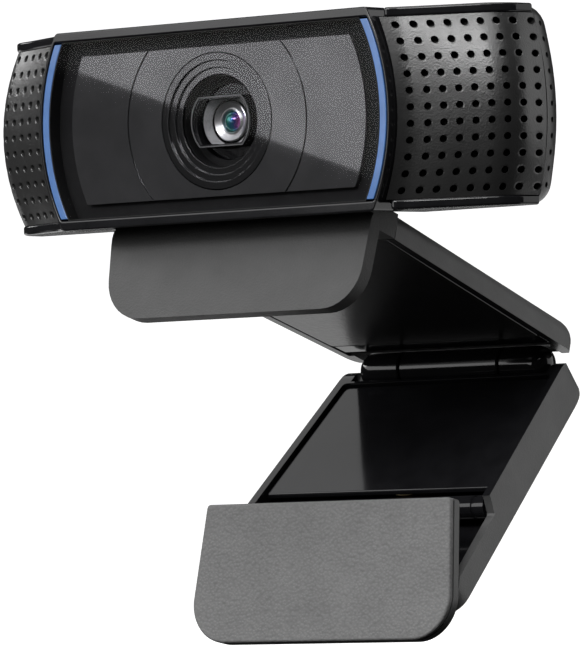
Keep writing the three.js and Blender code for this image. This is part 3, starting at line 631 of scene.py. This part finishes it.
SLOPE = RAD(21.7)
BEND_X, BEND_Y, BEND_RADIUS = 43.47, 7.36, 5.6
BEND_END_Y = 10  # from this depth on the wing's side runs back to the seam
ARC_AT_BLOCK, ARC_AT_SEAM, BOW = 65.5, 100, 140  # z squared over these is the sagitta
WING_TOP = 12.93
WING_THICK = 1.2
HOLE_RADIUS = 0.5
HOLE_AXIS = RAD(36)  # every hole runs this far from straight back
ROWS, ROW_PITCH = 11, 2.3
COLUMNS, COLUMN_PITCH = 9, 2.25
FIRST_COLUMN, SECOND_COLUMN = 3.5, 5.95
ACROSS = Vector((COS(HOLE_AXIS), SIN(HOLE_AXIS)))
ACROSS_ZERO = Vector((31.0, 0.0))


def wing_curve():
    """Right wing's front surface in plan, from the window block round to the seam."""
    start, flare, lift = BLOCK_RADIUS + 0.15, 2.6, 0.95
    steps, bend_steps = 8, 24

    def on_slope(x):
        return BEND_Y - (BEND_X - x) * math.tan(SLOPE)

    points = []
    for i in range(steps + 1):
        x = start + flare * i / steps
        points.append(Vector((x, on_slope(x) - lift * (1 - i / steps) ** 2)))
    for i in range(1, steps + 1):
        x = start + flare + (BEND_X - start - flare) * i / steps
        points.append(Vector((x, on_slope(x))))
    for i in range(1, bend_steps + 1):
        a = SLOPE + (math.pi / 2 - SLOPE) * i / bend_steps
        x = BEND_X + BEND_RADIUS * (SIN(a) - SIN(SLOPE))
        y = BEND_Y + BEND_RADIUS * (COS(SLOPE) - COS(a))
        points.append(Vector((x, y)))
    points.append(Vector((points[-1].x, SEAM_Y)))
    return points


def offset_curve(points, depth):
    """The curve moved inwards by depth."""
    out = []
    for i, p in enumerate(points):
        along = (points[min(i + 1, len(points) - 1)] - points[max(i - 1, 0)]).normalized()
        out.append(p + Vector((-along.y, along.x)) * depth)
    return out


def across(point):
    """How far a plan point lies across the holes' own axis."""
    return (point - ACROSS_ZERO).dot(ACROSS)


def point_across(curve, u):
    """The curve's point that lies u across the holes' axis."""
    for a, b in zip(curve, curve[1:]):
        ua, ub = across(a), across(b)
        if ua <= u <= ub:
            return a.lerp(b, (u - ua) / (ub - ua))
    return curve[0] if u < across(curve[0]) else curve[-1]


def eased(value, low, high):
    """0 up to low, 1 from high on, and a smooth step between them."""
    t = min(max((value - low) / (high - low), 0), 1)
    return t * t * (3 - 2 * t)


def drawn_in(y, z):
    """How far the wing moves towards the lens at height z. It follows the block's arc at its front
    and flattens towards the seam."""
    return z * z / (ARC_AT_BLOCK + (ARC_AT_SEAM - ARC_AT_BLOCK) * eased(y, BEND_END_Y, SEAM_Y))


def bowed_back(x, z):
    """How far the wing moves back at height z: not at all beside the block."""
    return eased(x, BLOCK_RADIUS, BEND_X) * z * z / BOW


def at_height(point, z):
    """Where a point of the wing's plan has moved to at height z."""
    return point.x - drawn_in(point.y, z), point.y + bowed_back(point.x, z)


def on_wing(curve, u, z):
    """Point of the wing's surface u across the holes' axis, cut off at the seam."""
    x, y = at_height(point_across(curve, u), z)
    return Vector((x, min(y, SEAM_Y), z))


def cell_border(u0, u1, z0, z1):
    """Sixteen points round a cell, so that neighbouring cells share them."""
    ts = [0, 0.25, 0.5, 0.75]
    bottom = [(u0 + (u1 - u0) * t, z0) for t in ts]
    right = [(u1, z0 + (z1 - z0) * t) for t in ts]
    top = [(u1 - (u1 - u0) * t, z1) for t in ts]
    left = [(u0, z1 - (z1 - z0) * t) for t in ts]
    return bottom + right + top + left


def hole_columns():
    return [FIRST_COLUMN] + [SECOND_COLUMN + COLUMN_PITCH * k for k in range(COLUMNS - 1)]


def shade_backing_mesh():
    """Thin black sheet close behind the wing, so that nothing shows through its holes. It stands for the inside
    behind them, and its flat black is painted shade.
    """
    front_gap, back_gap, half_height, slices = 0.2, 0.32, 12.4, 14
    front = wing_curve()
    start = across(front[0]) + 0.4
    sides = []
    for depth in (WING_THICK + front_gap, WING_THICK + back_gap):
        shifted = offset_curve(front, depth)
        sides.append([p for p in shifted if across(p) > start and p.y < SEAM_Y - 0.1])
    loop = sides[0] + sides[1][::-1]
    rings = []
    for j in range(slices + 1):
        z = -half_height + 2 * half_height * j / slices
        rings.append([Vector((*at_height(p, z), z)) for p in loop])
    return loft("cloth", rings)


def hole_rims(u, z, border):
    """Three rings round a hole, from its soft outer edge in to its wall, in the border's order."""
    angles = [math.atan2(bz - z, bu - u) for bu, bz in border]
    radii = (HOLE_RADIUS + 0.28, HOLE_RADIUS + 0.06, HOLE_RADIUS)
    return [[(u + radius * COS(a), z + radius * SIN(a)) for a in angles] for radius in radii]


def quarters(values):
    """The gaps between neighbouring values, each cut in four, as pairs of ends."""
    pairs = []
    for a, b in zip(values, values[1:]):
        stops = [a + (b - a) * k / 4 for k in range(5)]
        pairs += zip(stops, stops[1:])
    return pairs


def edge_quads(front, back, us, zs):
    """Quads between the wing's two skins, along its two ends and its two long edges."""
    lines = []
    for u in (us[0], us[-1]):
        lines += [((u, a), (u, b)) for a, b in quarters(zs)]
    for z in (zs[0], zs[-1]):
        lines += [((a, z), (b, z)) for a, b in quarters(us)]
    return [[on_wing(front, *p), on_wing(front, *q), on_wing(back, *q), on_wing(back, *p)]
            for p, q in lines]


def wing_mesh():
    """The perforated wing: every hole is a straight tube along the holes' common axis."""
    front = wing_curve()
    back = offset_curve(front, WING_THICK)
    back[-1].y = SEAM_Y
    columns = hole_columns()
    middles = [(a + b) / 2 for a, b in zip(columns, columns[1:])]
    us = [across(front[0]), *middles, across(front[-1])]
    zs = [-WING_TOP + 2 * WING_TOP * j / ROWS for j in range(ROWS + 1)]
    sink = Vector((-SIN(HOLE_AXIS), COS(HOLE_AXIS), 0)) * 0.1
    points, faces = [], []

    def put(ring):
        points.extend(ring)
        return list(range(len(points) - len(ring), len(points)))

    def join(a, b):
        for i in range(len(a)):
            k = (i + 1) % len(a)
            faces.append((a[i], a[k], b[k], b[i]))

    for c, u in enumerate(columns):
        for r in range(ROWS):
            border = cell_border(us[c], us[c + 1], zs[r], zs[r + 1])
            soft, lip, wall = hole_rims(u, (zs[r] + zs[r + 1]) / 2, border)
            rings = [put([on_wing(front, *q) for q in ring]) for ring in (border, soft, lip)]
            rings.append(put([on_wing(front, *q) + sink for q in wall]))
            rings += [put([on_wing(back, *q) for q in ring]) for ring in (wall, border)]
            for a, b in zip(rings, rings[1:]):
                join(a, b)
    for quad in edge_quads(front, back, us, zs):
        faces.append(tuple(put(quad)))
    return mesh_of("wing", points, faces)


def wings():
    """Both perforated wings, with painted shade in their holes: matt black on the hole walls, and a black backing
    behind them.
    """
    for word, side in SIDES:
        mesh = mirrored(wing_mesh(), side)
        drill = Vector((-side * SIN(HOLE_AXIS), COS(HOLE_AXIS), 0))

        # Painted shade: the hole walls take the matt black, not the wing's own plastic.
        def shaded_hole_wall(centre, normal, drill=drill):
            return abs(normal.dot(drill)) < 0.25

        show(f"{word}_perforated_wing", mesh, "head", SHELL,
             [f"{word}_grille"], angle=50, other=(MATT_BLACK, shaded_hole_wall))
        # Painted shade: a flat black backing for the dark inside behind the holes.
        cloth = mirrored(shade_backing_mesh(), side)
        show(f"{word}_shade_backing", cloth, "head", MATT_BLACK)


TRIM_LOW, TRIM_HIGH = 12.95, 14.35
SADDLE_HALF = 24.6  # half the width of the hollow over the clip


def trim_outline():
    """Right half of the trims' plan: the wing's outline at its ends' height, a little proud."""
    proud = 0.3
    points = [(x, y - proud) for x, y in (at_height(p, TRIM_LOW) for p in wing_curve())]
    return [q for q in points if q[0] > 29.9 and q[1] < SEAM_Y] + [(points[-1][0], SEAM_Y)]


def trims():
    side = trim_outline()
    start_y, step_x, saddle_x = BLOCK_DEPTH + 0.2, 29.4, SADDLE_HALF + 0.3
    step = [(step_x, start_y), (step_x, side[0][1])]
    right = [(0, start_y), *step, *side]
    left = [(-x, y) for x, y in reversed(right) if x > 0]
    top = prism("top", right + left, TRIM_LOW, TRIM_HIGH)
    show("crown_trim", top, "head", GLOSS, ["top_trim"], 0.66, 6, 40)
    low = [(saddle_x, start_y), *step, *side, (saddle_x, SEAM_Y)]
    for word, sign in SIDES:
        mesh = mirrored(prism("low", low, -TRIM_HIGH, -TRIM_LOW), sign)
        show(f"{word}_lower_trim", mesh, "head", GLOSS,
             [f"{word}_bottom_trim"], 0.66, 6, 40)


# ------------ head: back

REAR_TOP, REAR_HALF_WIDTH, REAR_CORNER = 14.3, 46.95, 2.6
REAR_ARC = 85  # z squared over this is the sides' sagitta
SADDLE_Z = -11.9
GLAND = (15, 0, -3)


def rear_ring(y, inset_x, inset_z):
    """Outline of the rear shell at one depth, with the saddle over the clip in its underside."""
    top = REAR_TOP - inset_z
    saddle_z = SADDLE_Z + max(0.0, inset_z - 2.4)
    base = min(-top, saddle_z)
    radius = REAR_CORNER

    def side_x(z):
        return REAR_HALF_WIDTH - inset_x - z * z / REAR_ARC

    low_z, high_z = base + radius, top - radius
    low_x, high_x = side_x(low_z) - radius, side_x(high_z) - radius
    right = [(SADDLE_HALF, base)]
    right += [(SADDLE_HALF + (low_x - SADDLE_HALF) * t, base) for t in (0.25, 0.5, 0.75)]
    right += arc(radius, -90, -10, 6, (low_x, low_z))
    for i in range(1, 12):
        z = low_z + (high_z - low_z) * i / 12
        right.append((side_x(z), z))
    right += arc(radius, 10, 90, 6, (high_x, high_z))
    left = [(-x, z) for x, z in reversed(right)]
    notch = [(-SADDLE_HALF, saddle_z), (SADDLE_HALF, saddle_z)]
    return [Vector((x, y, z)) for x, z in right + left + notch]


def rear_shell():
    """Rear shell, rounding over to its back, with a row of ports down each side."""
    front, back, steps = SEAM_Y + 0.3, 24.0, 14
    round_x, round_z = 6.4, 5.2
    rings = []
    for i in range(steps + 1):
        a = RAD(90 * i / steps)
        fall = 1 - COS(a)
        rings.append(rear_ring(front + (back - front) * SIN(a), round_x * fall, round_z * fall))
    shell = loft("rear", rings)
    port_radius, port_x, port_y = 0.42, 46.6, 18.5
    cutters = []
    for _, side in SIDES:
        for row in range(ROWS):
            z = (row - (ROWS - 1) / 2) * ROW_PITCH
            x = side * (port_x - drawn_in(SEAM_Y, z))
            cutters.append(rod("port", port_radius, -2.5, 3, "X", (x, port_y, z), 16))
    cutters.append(rod("gland_room", 2.5, 20, 26, "Y", GLAND))
    shell = carved(shell, cutters)
    show("rear_cover", shell, "head", SHELL, ["rear_shell"], angle=35)


def seam_step():
    """Black step inside the seam before the rear shell, so that no light shows through it."""
    front, back = SEAM_Y - 0.5, SEAM_Y + 0.25
    outer, inner = 1.6, 2.3
    corners = ((outer, front), (outer, back), (inner, back), (inner, front))
    rings = [rear_ring(y, inset, inset) for inset, y in corners]
    step = loft("seam_step", rings, looped=True)
    over_clip = box_mesh("over_clip", (-24.8, 24.8), (10, 20), (-16, -5))
    show("seam_step", carved(step, [over_clip]), "head", MATT_BLACK)


def cable_gland():
    profile = [(1.6, 20.5), (2.25, 20.5), (2.3, 24.25), (3.3, 24.3), (3.45, 24.6), (3.2, 25.0),
               (2.4, 25.15), (1.6, 24.9)]
    mesh = turned_piece("gland", profile, 56, centre=GLAND)
    show("cable_grommet", mesh, "head", RUBBER, ["cable_gland"])


def saddle():
    plate = box_mesh("saddle", (-24.3, 24.3), (5.3, SEAM_Y), (SADDLE_Z, SADDLE_Z + 1.2))
    slot = box_mesh("slot", (-11.4, 11.4), (7.2, SEAM_Y + 1), (-13, -9))
    mesh = carved(plate, [slot])
    show("saddle", mesh, "head", GLOSS, ["saddle_plate"], 0.15)


# ------------ clip base

LIP_BOTTOM = 12.0  # how far the lip reaches down
LIP_TOP = 3.7
LIP_THICK = 2.4
LIP_HALF_LOW, LIP_HALF_TOP = 22.5, 23.4
CORNER_Y = -10.0  # the screen's upper edge rests in this corner
ARM_THICK = 4.5
ARM_ROLL = 3.0  # radius that the arm's upper edges are rolled over with
HINGE_ROOM = 3.1  # radius of the room cut round the hinge barrels


def lip():
    """Front lip with rounded lower corners, rolling over into the arm's front end."""
    lean = RAD(LIP_LEAN)
    down = Vector((SIN(lean), -COS(lean)))
    out = Vector((-COS(lean), -SIN(lean)))
    inner_top = Vector((CORNER_Y, 0))
    radius, bend, last_drop = 6.0, 3.4, 0.8
    rows = []
    drops = [LIP_BOTTOM - radius * (1 - COS(RAD(a))) for a in range(0, 91, 10)]
    drops += [LIP_BOTTOM - radius - (LIP_BOTTOM - radius - last_drop) * k / 6 for k in range(1, 7)]
    for drop in drops:
        low = LIP_BOTTOM - drop
        half = LIP_HALF_LOW + (LIP_HALF_TOP - LIP_HALF_LOW) * (1 - drop / LIP_BOTTOM)
        if low < radius:
            half -= radius - math.sqrt(radius ** 2 - (radius - low) ** 2)
        face = inner_top + down * drop
        rows.append((half, face + out * LIP_THICK, face))
    centre = Vector((CORNER_Y - LIP_THICK + bend, LIP_TOP - bend))
    for a in range(180, 89, -10):
        turn = RAD(a)
        outer = centre + Vector((COS(turn), SIN(turn))) * bend
        t = (180 - a) / 90
        rows.append((LIP_HALF_TOP, outer, Vector((CORNER_Y + 0.3 * t, 0.0))))
    end_y = -6.2
    rows.append((LIP_HALF_TOP, Vector((end_y, LIP_TOP)), Vector((end_y, 0.0))))
    rings = []
    for half, outer, inner in rows:
        xs = [-half, -half * 0.6, half * 0.6, half]
        ring = [Vector((x, *outer)) for x in xs]
        ring += [Vector((x, *inner)) for x in reversed(xs)]
        rings.append(ring)
    mesh = loft("lip", rings)
    show("lip", mesh, "clip_base", LIP_SKIN, ["lip_bracket"], 0.45, 4, 40)


def taper(near, far, inset, near_round, far_round, hinge=0.0):
    """Plan of a tapering plate between two distances from the hinge, whose y is given."""
    a, b = half_width(near) - inset, half_width(far) - inset
    points = [(b, hinge - far), (a, hinge - near), (-a, hinge - near), (-b, hinge - far)]
    radii = (far_round, near_round, near_round, far_round)
    shape = []
    for i, (point, radius) in enumerate(zip(points, radii)):
        if not radius:
            shape.append(point)
            continue
        before, corner, after = Vector(points[i - 1]), Vector(point), Vector(points[(i + 1) % 4])
        start = corner + (before - corner).normalized() * radius
        end = corner + (after - corner).normalized() * radius
        shape += curve(start, corner, end, 8)
    return shape


def arm_pad():
    """The pad and the gloss strip that share the arm's underside."""
    border_y, gap, inset, top = 38, 0.3, 1.6, 1.3
    near, far = HINGE.y - border_y, HINGE.y + 6.5
    mesh = prism("pad", taper(near, far, inset, 0.6, 0.3, HINGE.y), -0.02, top)
    show("arm_pad", mesh, "clip_base", UNDERSIDE, bevel=0.25)
    near, far = 3.6, HINGE.y - border_y - gap
    strip = prism("strip", taper(near, far, inset, 0.4, 0.3, HINGE.y), 0.1, top)
    show("arm_inlay", strip, "clip_base", GLOSS_CLIP, ["arm_panel"], 0.25)


def arm_section(y, half, height, side_radius, low=0.0):
    """Cross-section of the arm: flat below, its upper edges rolled over."""
    r = min(side_radius, height * 0.95)
    points = [(-half, low), *arc(r, 180, 90, 6, (r - half, height - r)),
              *arc(r, 90, 0, 6, (half - r, height - r)), (half, low)]
    return [Vector((x, y, z)) for x, z in points]


def arm_body():
    """The arm, rounded off at its tip, with a pocket underneath and room for the hinge."""
    start, tip, tip_round, steps = -5.9, 46.8, 3.4, 8
    side_fall, roll_fall, corner_cut = 2.2, 2.8, 0.6
    sections = []
    for i in range(steps + 1):
        y = start + (tip - tip_round - start) * i / steps
        sections.append(arm_section(y, half_width(HINGE.y - y), ARM_THICK, ARM_ROLL))
    for a in range(10, 91, 10):
        turn = RAD(a)
        y = tip - tip_round + tip_round * SIN(turn)
        fall = 1 - COS(turn)
        half = half_width(HINGE.y - y) - side_fall * fall
        height, roll = ARM_THICK - tip_round * fall, ARM_ROLL - roll_fall * fall
        low = max(0.0, y - tip + corner_cut)  # the tip's lower corner stays clear of the open leg
        sections.append(arm_section(y, half, height, roll, low))
    body = loft("arm", sections)
    pocket = prism("pocket", taper(2.2, HINGE.y + 8, 1.3, 0, 0, HINGE.y), -1, 1.6)
    room = rod("room", HINGE_ROOM, -18, 18, "X", (0, HINGE.y, HINGE.z), 64)
    body = carved(body, [pocket, room])

    def faces_down(centre, normal):
        return normal.z < -0.7 and centre.z < 1.7

    show("arm_body", body, "clip_base", CLIP, ["arm_shell"], 0.18, 2,
         other=(UNDERSIDE, faces_down))


def hinge_barrels():
    radius, middle, end = 2.8, 9.0, 17.2
    dome = [(radius, 14.6), (2.74, 15.3), (2.5, 16.0), (2.05, 16.6), (1.3, 17.05), (0, end)]
    for word, side in SIDES:
        profile = [(0, middle + 0.3), (radius - 0.2, middle + 0.3), (radius, middle + 0.5), *dome]
        mesh = mirrored(turned_piece("barrel", profile, 72, axis="X", centre=HINGE), side)
        show(f"{word}_hinge_barrel", mesh, "clip_base", GLOSS_CLIP,
             [f"{word}_arm_knuckle"])
    edge = radius - 0.2
    profile = [(0, -middle), (edge, -middle), (radius, -middle + 0.2), (radius, middle - 0.2),
               (edge, middle), (0, middle)]
    mesh = turned_piece("centre", profile, 72, axis="X")
    show("centre_hinge_barrel", mesh, "leg", GLOSS_CLIP, ["leg_knuckle"])


# ------------ leg

# Distances from the hinge are positive down the leg; levels are measured square to it
LEG_FRONT, LEG_BACK, LEG_LOW, LEG_END = 0.67, -5.9, -2.2, 50.2
RECESS_Y = 31.2  # the foot's recess starts here
RIM = 1.3  # width of the rim round the leg's hollow
BAR_Y, BAR_DEPTH = 30.7, -1.95
SOCKET = (0, -19, 0)


def leg_body():
    """Hollow leg with a rounded hinge end, a recess for the foot and room for what turns in it."""
    plan = taper(-0.95, LEG_END, 0, 2.6, 4.0)
    outer = prism("leg", plan, LEG_BACK, LEG_FRONT)
    top_y, front_y, back_y = 0.9, -2.4, -3.4
    middle = (LEG_FRONT + LEG_BACK) / 2
    profile = [(front_y, LEG_FRONT), (front_y, LEG_FRONT + 1), (-RECESS_Y, LEG_FRONT + 1),
               (-RECESS_Y, LEG_FRONT - 0.4), (-RECESS_Y - 0.9, LEG_LOW + 0.2), (-RECESS_Y - 1.2, LEG_LOW),
               (-LEG_END - 1, LEG_LOW), (-LEG_END - 1, LEG_BACK - 1), (back_y, LEG_BACK - 1)]
    profile += curve((back_y, LEG_BACK), (top_y, LEG_BACK), (top_y, middle), 8)
    profile += curve((top_y, middle), (top_y, LEG_FRONT), (front_y, LEG_FRONT), 8)[1:-1]
    keep = prism("keep", profile, -30, 30, SIDE)
    body = carved(outer, [keep], "INTERSECT")
    floor = LEG_BACK + 0.95
    hollow = prism("hollow", taper(3.4, LEG_END - 1.6, RIM, 0.8, 3.0), floor, 4)
    room = rod("room", HINGE_ROOM, -18, 18, "X", steps=64)
    insert = rod("insert_room", 4.8, -8, 0, "Z", SOCKET)
    stop = box_mesh("stop", (-30, 30), (-16, 2), (1.45, 12))
    stop.transform(Matrix.Rotation(RAD(FOOT_ANGLE - LEG_ANGLE), 4, "X"))
    stop.transform(Matrix.Translation(PIN))
    body = carved(body, [hollow, room, insert, stop])

    def faces_front(centre, normal):
        on_rim = normal.z > 0.7 and centre.z > LEG_FRONT - 0.2
        inside = centre.z > floor - 0.05 and abs(centre.x) < half_width(-centre.y) - RIM + 0.1
        return on_rim or inside

    show("leg_body", body, "leg", CLIP, ["leg_shell"], 0.3, 3,
         other=(GLOSS_CLIP, faces_front))


def leg_front():
    panel = prism("panel", taper(3.7, 28.6, RIM + 0.25, 0.8, 0.5), -0.9, 0.1)
    show("leg_inlay", panel, "leg", GLOSS_CLIP, ["leg_panel"], 0.3, 4)
    half = half_width(BAR_Y) - RIM - 0.2
    radius, groove_radius = 1.8, 1.6
    steps = [(0, -half), (radius, -half), (radius, -18.9), (groove_radius, -18.8),
             (groove_radius, -18.4), (radius, -18.3)]
    profile = steps + [(r, -d) for r, d in reversed(steps)]
    bar = turned_piece("bar", profile, 56, axis="X", centre=(0, -BAR_Y, BAR_DEPTH))
    show("leg_roller", bar, "leg", GLOSS_CLIP, ["leg_bar"])


def tripod_thread():
    """Brass insert with a threaded hole, seen from behind the leg."""
    seat, top, floor = LEG_BACK, -1.3, -2.4
    radius, chamfer, hole, thread = 4.5, 0.2, 2.75, 0.4
    profile = [(radius, top), (radius, seat + chamfer), (radius - chamfer, seat), (hole + 0.3, seat)]
    pitch = 1.27 / 2
    depth = seat + 0.3
    while depth < floor - 0.5:
        profile += [(hole, depth), (hole - thread, depth + pitch / 2)]
        depth += pitch
    profile += [(hole, floor), (0, floor), (0, top)]
    mesh = turned_piece("insert", profile, 64, axis="Z", centre=SOCKET)
    show("tripod_socket", mesh, "leg", BRASS, ["tripod_insert"])


# ------------ foot

def foot_outline():
    """The foot's face: slightly wider and well rounded at its lower end."""
    half_top, half_low = 22.2, 23.3
    top, low = 11.6, -9.25
    small, corner = 0.6, 6.3
    right = arc(corner, -90, 0, 14, (half_low - corner, low + corner))
    right += arc(small, 0, 90, 6, (half_top - small, top - small))
    left = [(-x, y) for x, y in reversed(right)]
    return right + left


def foot_pieces():
    pad = prism("pad", foot_outline(), 3.1, 4.1)
    show("foot_skin", pad, "foot", PAD, ["foot_pad"], 0.35, 4)
    ear_radius = 1.3
    ears = []
    for _, side in SIDES:
        xs = sorted((side * 16.2, side * 19.2))
        ears.append(box_mesh("ear", xs, (-ear_radius, ear_radius), (0, 2.2)))
        ears.append(rod("ear_round", ear_radius, *xs, "X"))
    body = carved(prism("plate", foot_outline(), 1.8, 3.0), ears, "UNION")
    body = carved(body, [rod("pin_hole", 0.85, -20, 20, "X")])
    show("foot_back", body, "foot", CLIP, ["foot_plate"], 0.2, 3)


# ------------ carried-over CAD nodes

CAD_LOOKS = (
    (STEEL, """tilt_yoke tilt_pin left_tilt_washer right_tilt_washer hinge_pin foot_pin
            arm_screw_left arm_screw_right leg_screw_left leg_screw_right board_screw_left
            board_screw_right left_led right_led left_microphone right_microphone shield_can"""),
    (GLOSS_CLIP, "neck"),
    (BOARD, "main_board"),
    (RUBBER, "left_mic_gasket right_mic_gasket"),
    (BLACK, "focus_actuator image_sensor image_processor"),
    (LENS, "infrared_filter rear_lens"),
)


def dress_cad():
    """Gives the CAD nodes that no piece replaces their materials."""
    for material, nodes in CAD_LOOKS:
        for node in nodes.split():
            mesh = frame["nodes"][node].data
            mesh.materials.clear()
            mesh.materials.append(material)


# ------------ camera, light, stage

CAMERA = {"azimuth": 36.48, "elevation": -1.18, "roll": -2.14, "distance": 0.9358, "lens": 360.2}
LENS_OFF_CENTRE = (-0.01154, 0.02939)  # the lens is this far left and up of the view's middle


def camera():
    az, el, roll = (RAD(CAMERA[k]) for k in ("azimuth", "elevation", "roll"))
    back = Vector((SIN(az) * COS(el), -COS(az) * COS(el), SIN(el)))
    level = Vector((COS(az), SIN(az), 0))
    raised = back.cross(level)
    right = level * COS(roll) + raised * SIN(roll)
    up = level * -SIN(roll) + raised * COS(roll)
    place = LENS_PLACE + back * CAMERA["distance"]
    place -= right * LENS_OFF_CENTRE[0] + up * LENS_OFF_CENTRE[1]
    data = bpy.data.cameras.new("camera")
    data.lens = CAMERA["lens"]
    data.sensor_width = 36
    data.clip_start, data.clip_end = 0.05, 20
    obj = linked("camera", data)
    rows = Matrix((right, up, back)).transposed().to_4x4()
    obj.matrix_world = Matrix.Translation(place) @ rows
    bpy.context.scene.camera = obj


def softbox(name, place, target, width, height, radiance, tilt=0.0, lift=0.0):
    """A soft rectangular light whose face is as bright as radiance. Tilt turns it in its own plane,
    then lift moves it along its own upward edge."""
    data = bpy.data.lights.new(name, "AREA")
    data.shape = "RECTANGLE"
    data.size, data.size_y = width, height
    data.energy = radiance * math.pi * width * height
    obj = linked(name, data)
    facing = (Vector(target) - Vector(place)).to_track_quat("-Z", "Y").to_matrix().to_4x4()
    turn = facing @ Matrix.Rotation(RAD(tilt), 4, "Z")
    obj.matrix_world = Matrix.Translation(place) @ turn @ Matrix.Translation((0, lift, 0))
    obj.visible_camera = False


def lights():
    """Softboxes of a small photo studio. The front card is what the window's face mirrors."""
    middle = (cad_low + cad_high) / 2
    softbox("ceiling", (-0.2, -0.1, 1.1), middle, 2.0, 2.0, 0.85)
    softbox("top_strip", (0.1, -0.08, 1.0), middle, 1.3, 0.12, 10.0)
    to_camera = (bpy.context.scene.camera.location - LENS_PLACE).normalized()
    card_edge = LENS_PLACE + Vector((-to_camera.x, to_camera.y, -to_camera.z)) * 0.8
    card_height = 0.5
    softbox("front_card", card_edge, LENS_PLACE, 0.9, card_height, 2.4, -21.6, card_height / 2)
    softbox("key", (0.55, -0.62, 0.78), middle, 0.8, 0.6, 2.7)
    softbox("wing_strip", (0.13, -0.86, 0.48), middle, 0.7, 0.2, 13.0)
    softbox("side_strip", (-0.88, -0.16, 0.42), middle, 0.6, 0.25, 6.0)
    softbox("backdrop_glow", (0.78, 0.98, 0.3), middle, 1.0, 1.0, 0.9)
    softbox("floor_card", (-0.3, 0.42, cad_low.z), (-0.3, 0.42, 1), 0.9, 0.76, 0.8)
    world = bpy.data.worlds.new("studio")
    world.use_nodes = True
    world.node_tree.nodes["Background"].inputs["Color"].default_value = (1, 1, 1, 1)
    world.node_tree.nodes["Background"].inputs["Strength"].default_value = 0.02
    bpy.context.scene.world = world
    bpy.context.scene.view_settings.view_transform = "Standard"


def stage():
    """Pale floor that sweeps up into a backdrop behind the object."""
    floor = cad_low.z - 0.022  # the open leg hangs lower than the leg at rest
    front, flat_end, radius, height, side = -2.5, 1.2, 0.8, 3, 4
    profile = [(front, floor), *arc(radius, -90, 0, 9, (flat_end, floor + radius)),
               (flat_end + radius, floor + height)]
    rows = [[(x, y, z) for y, z in profile] for x in (-side, side)]
    count = len(profile)
    faces = [(i, i + 1, count + i + 1, count + i) for i in range(count - 1)]
    mesh = bpy.data.meshes.new("sweep")
    mesh.from_pydata(rows[0] + rows[1], [], faces)
    mesh.shade_smooth()
    mesh.transform(Matrix.Rotation(RAD(CAMERA["azimuth"]), 4, "Z"))
    mesh.materials.append(backdrop_paper("backdrop"))
    obj = linked("sweep", mesh)
    obj.visible_diffuse = False
    obj.visible_glossy = False


# ------------ the whole scene

camera()
lights()
stage()
window_block()
window_liner()
light_guides()
lens_funnel()
lens_hood()
lens_stack()
wings()
trims()
rear_shell()
seam_step()
cable_gland()
saddle()
lip()
arm_pad()
arm_body()
hinge_barrels()
leg_body()
leg_front()
tripod_thread()
foot_pieces()
dress_cad()

bpy.context.view_layer.update()
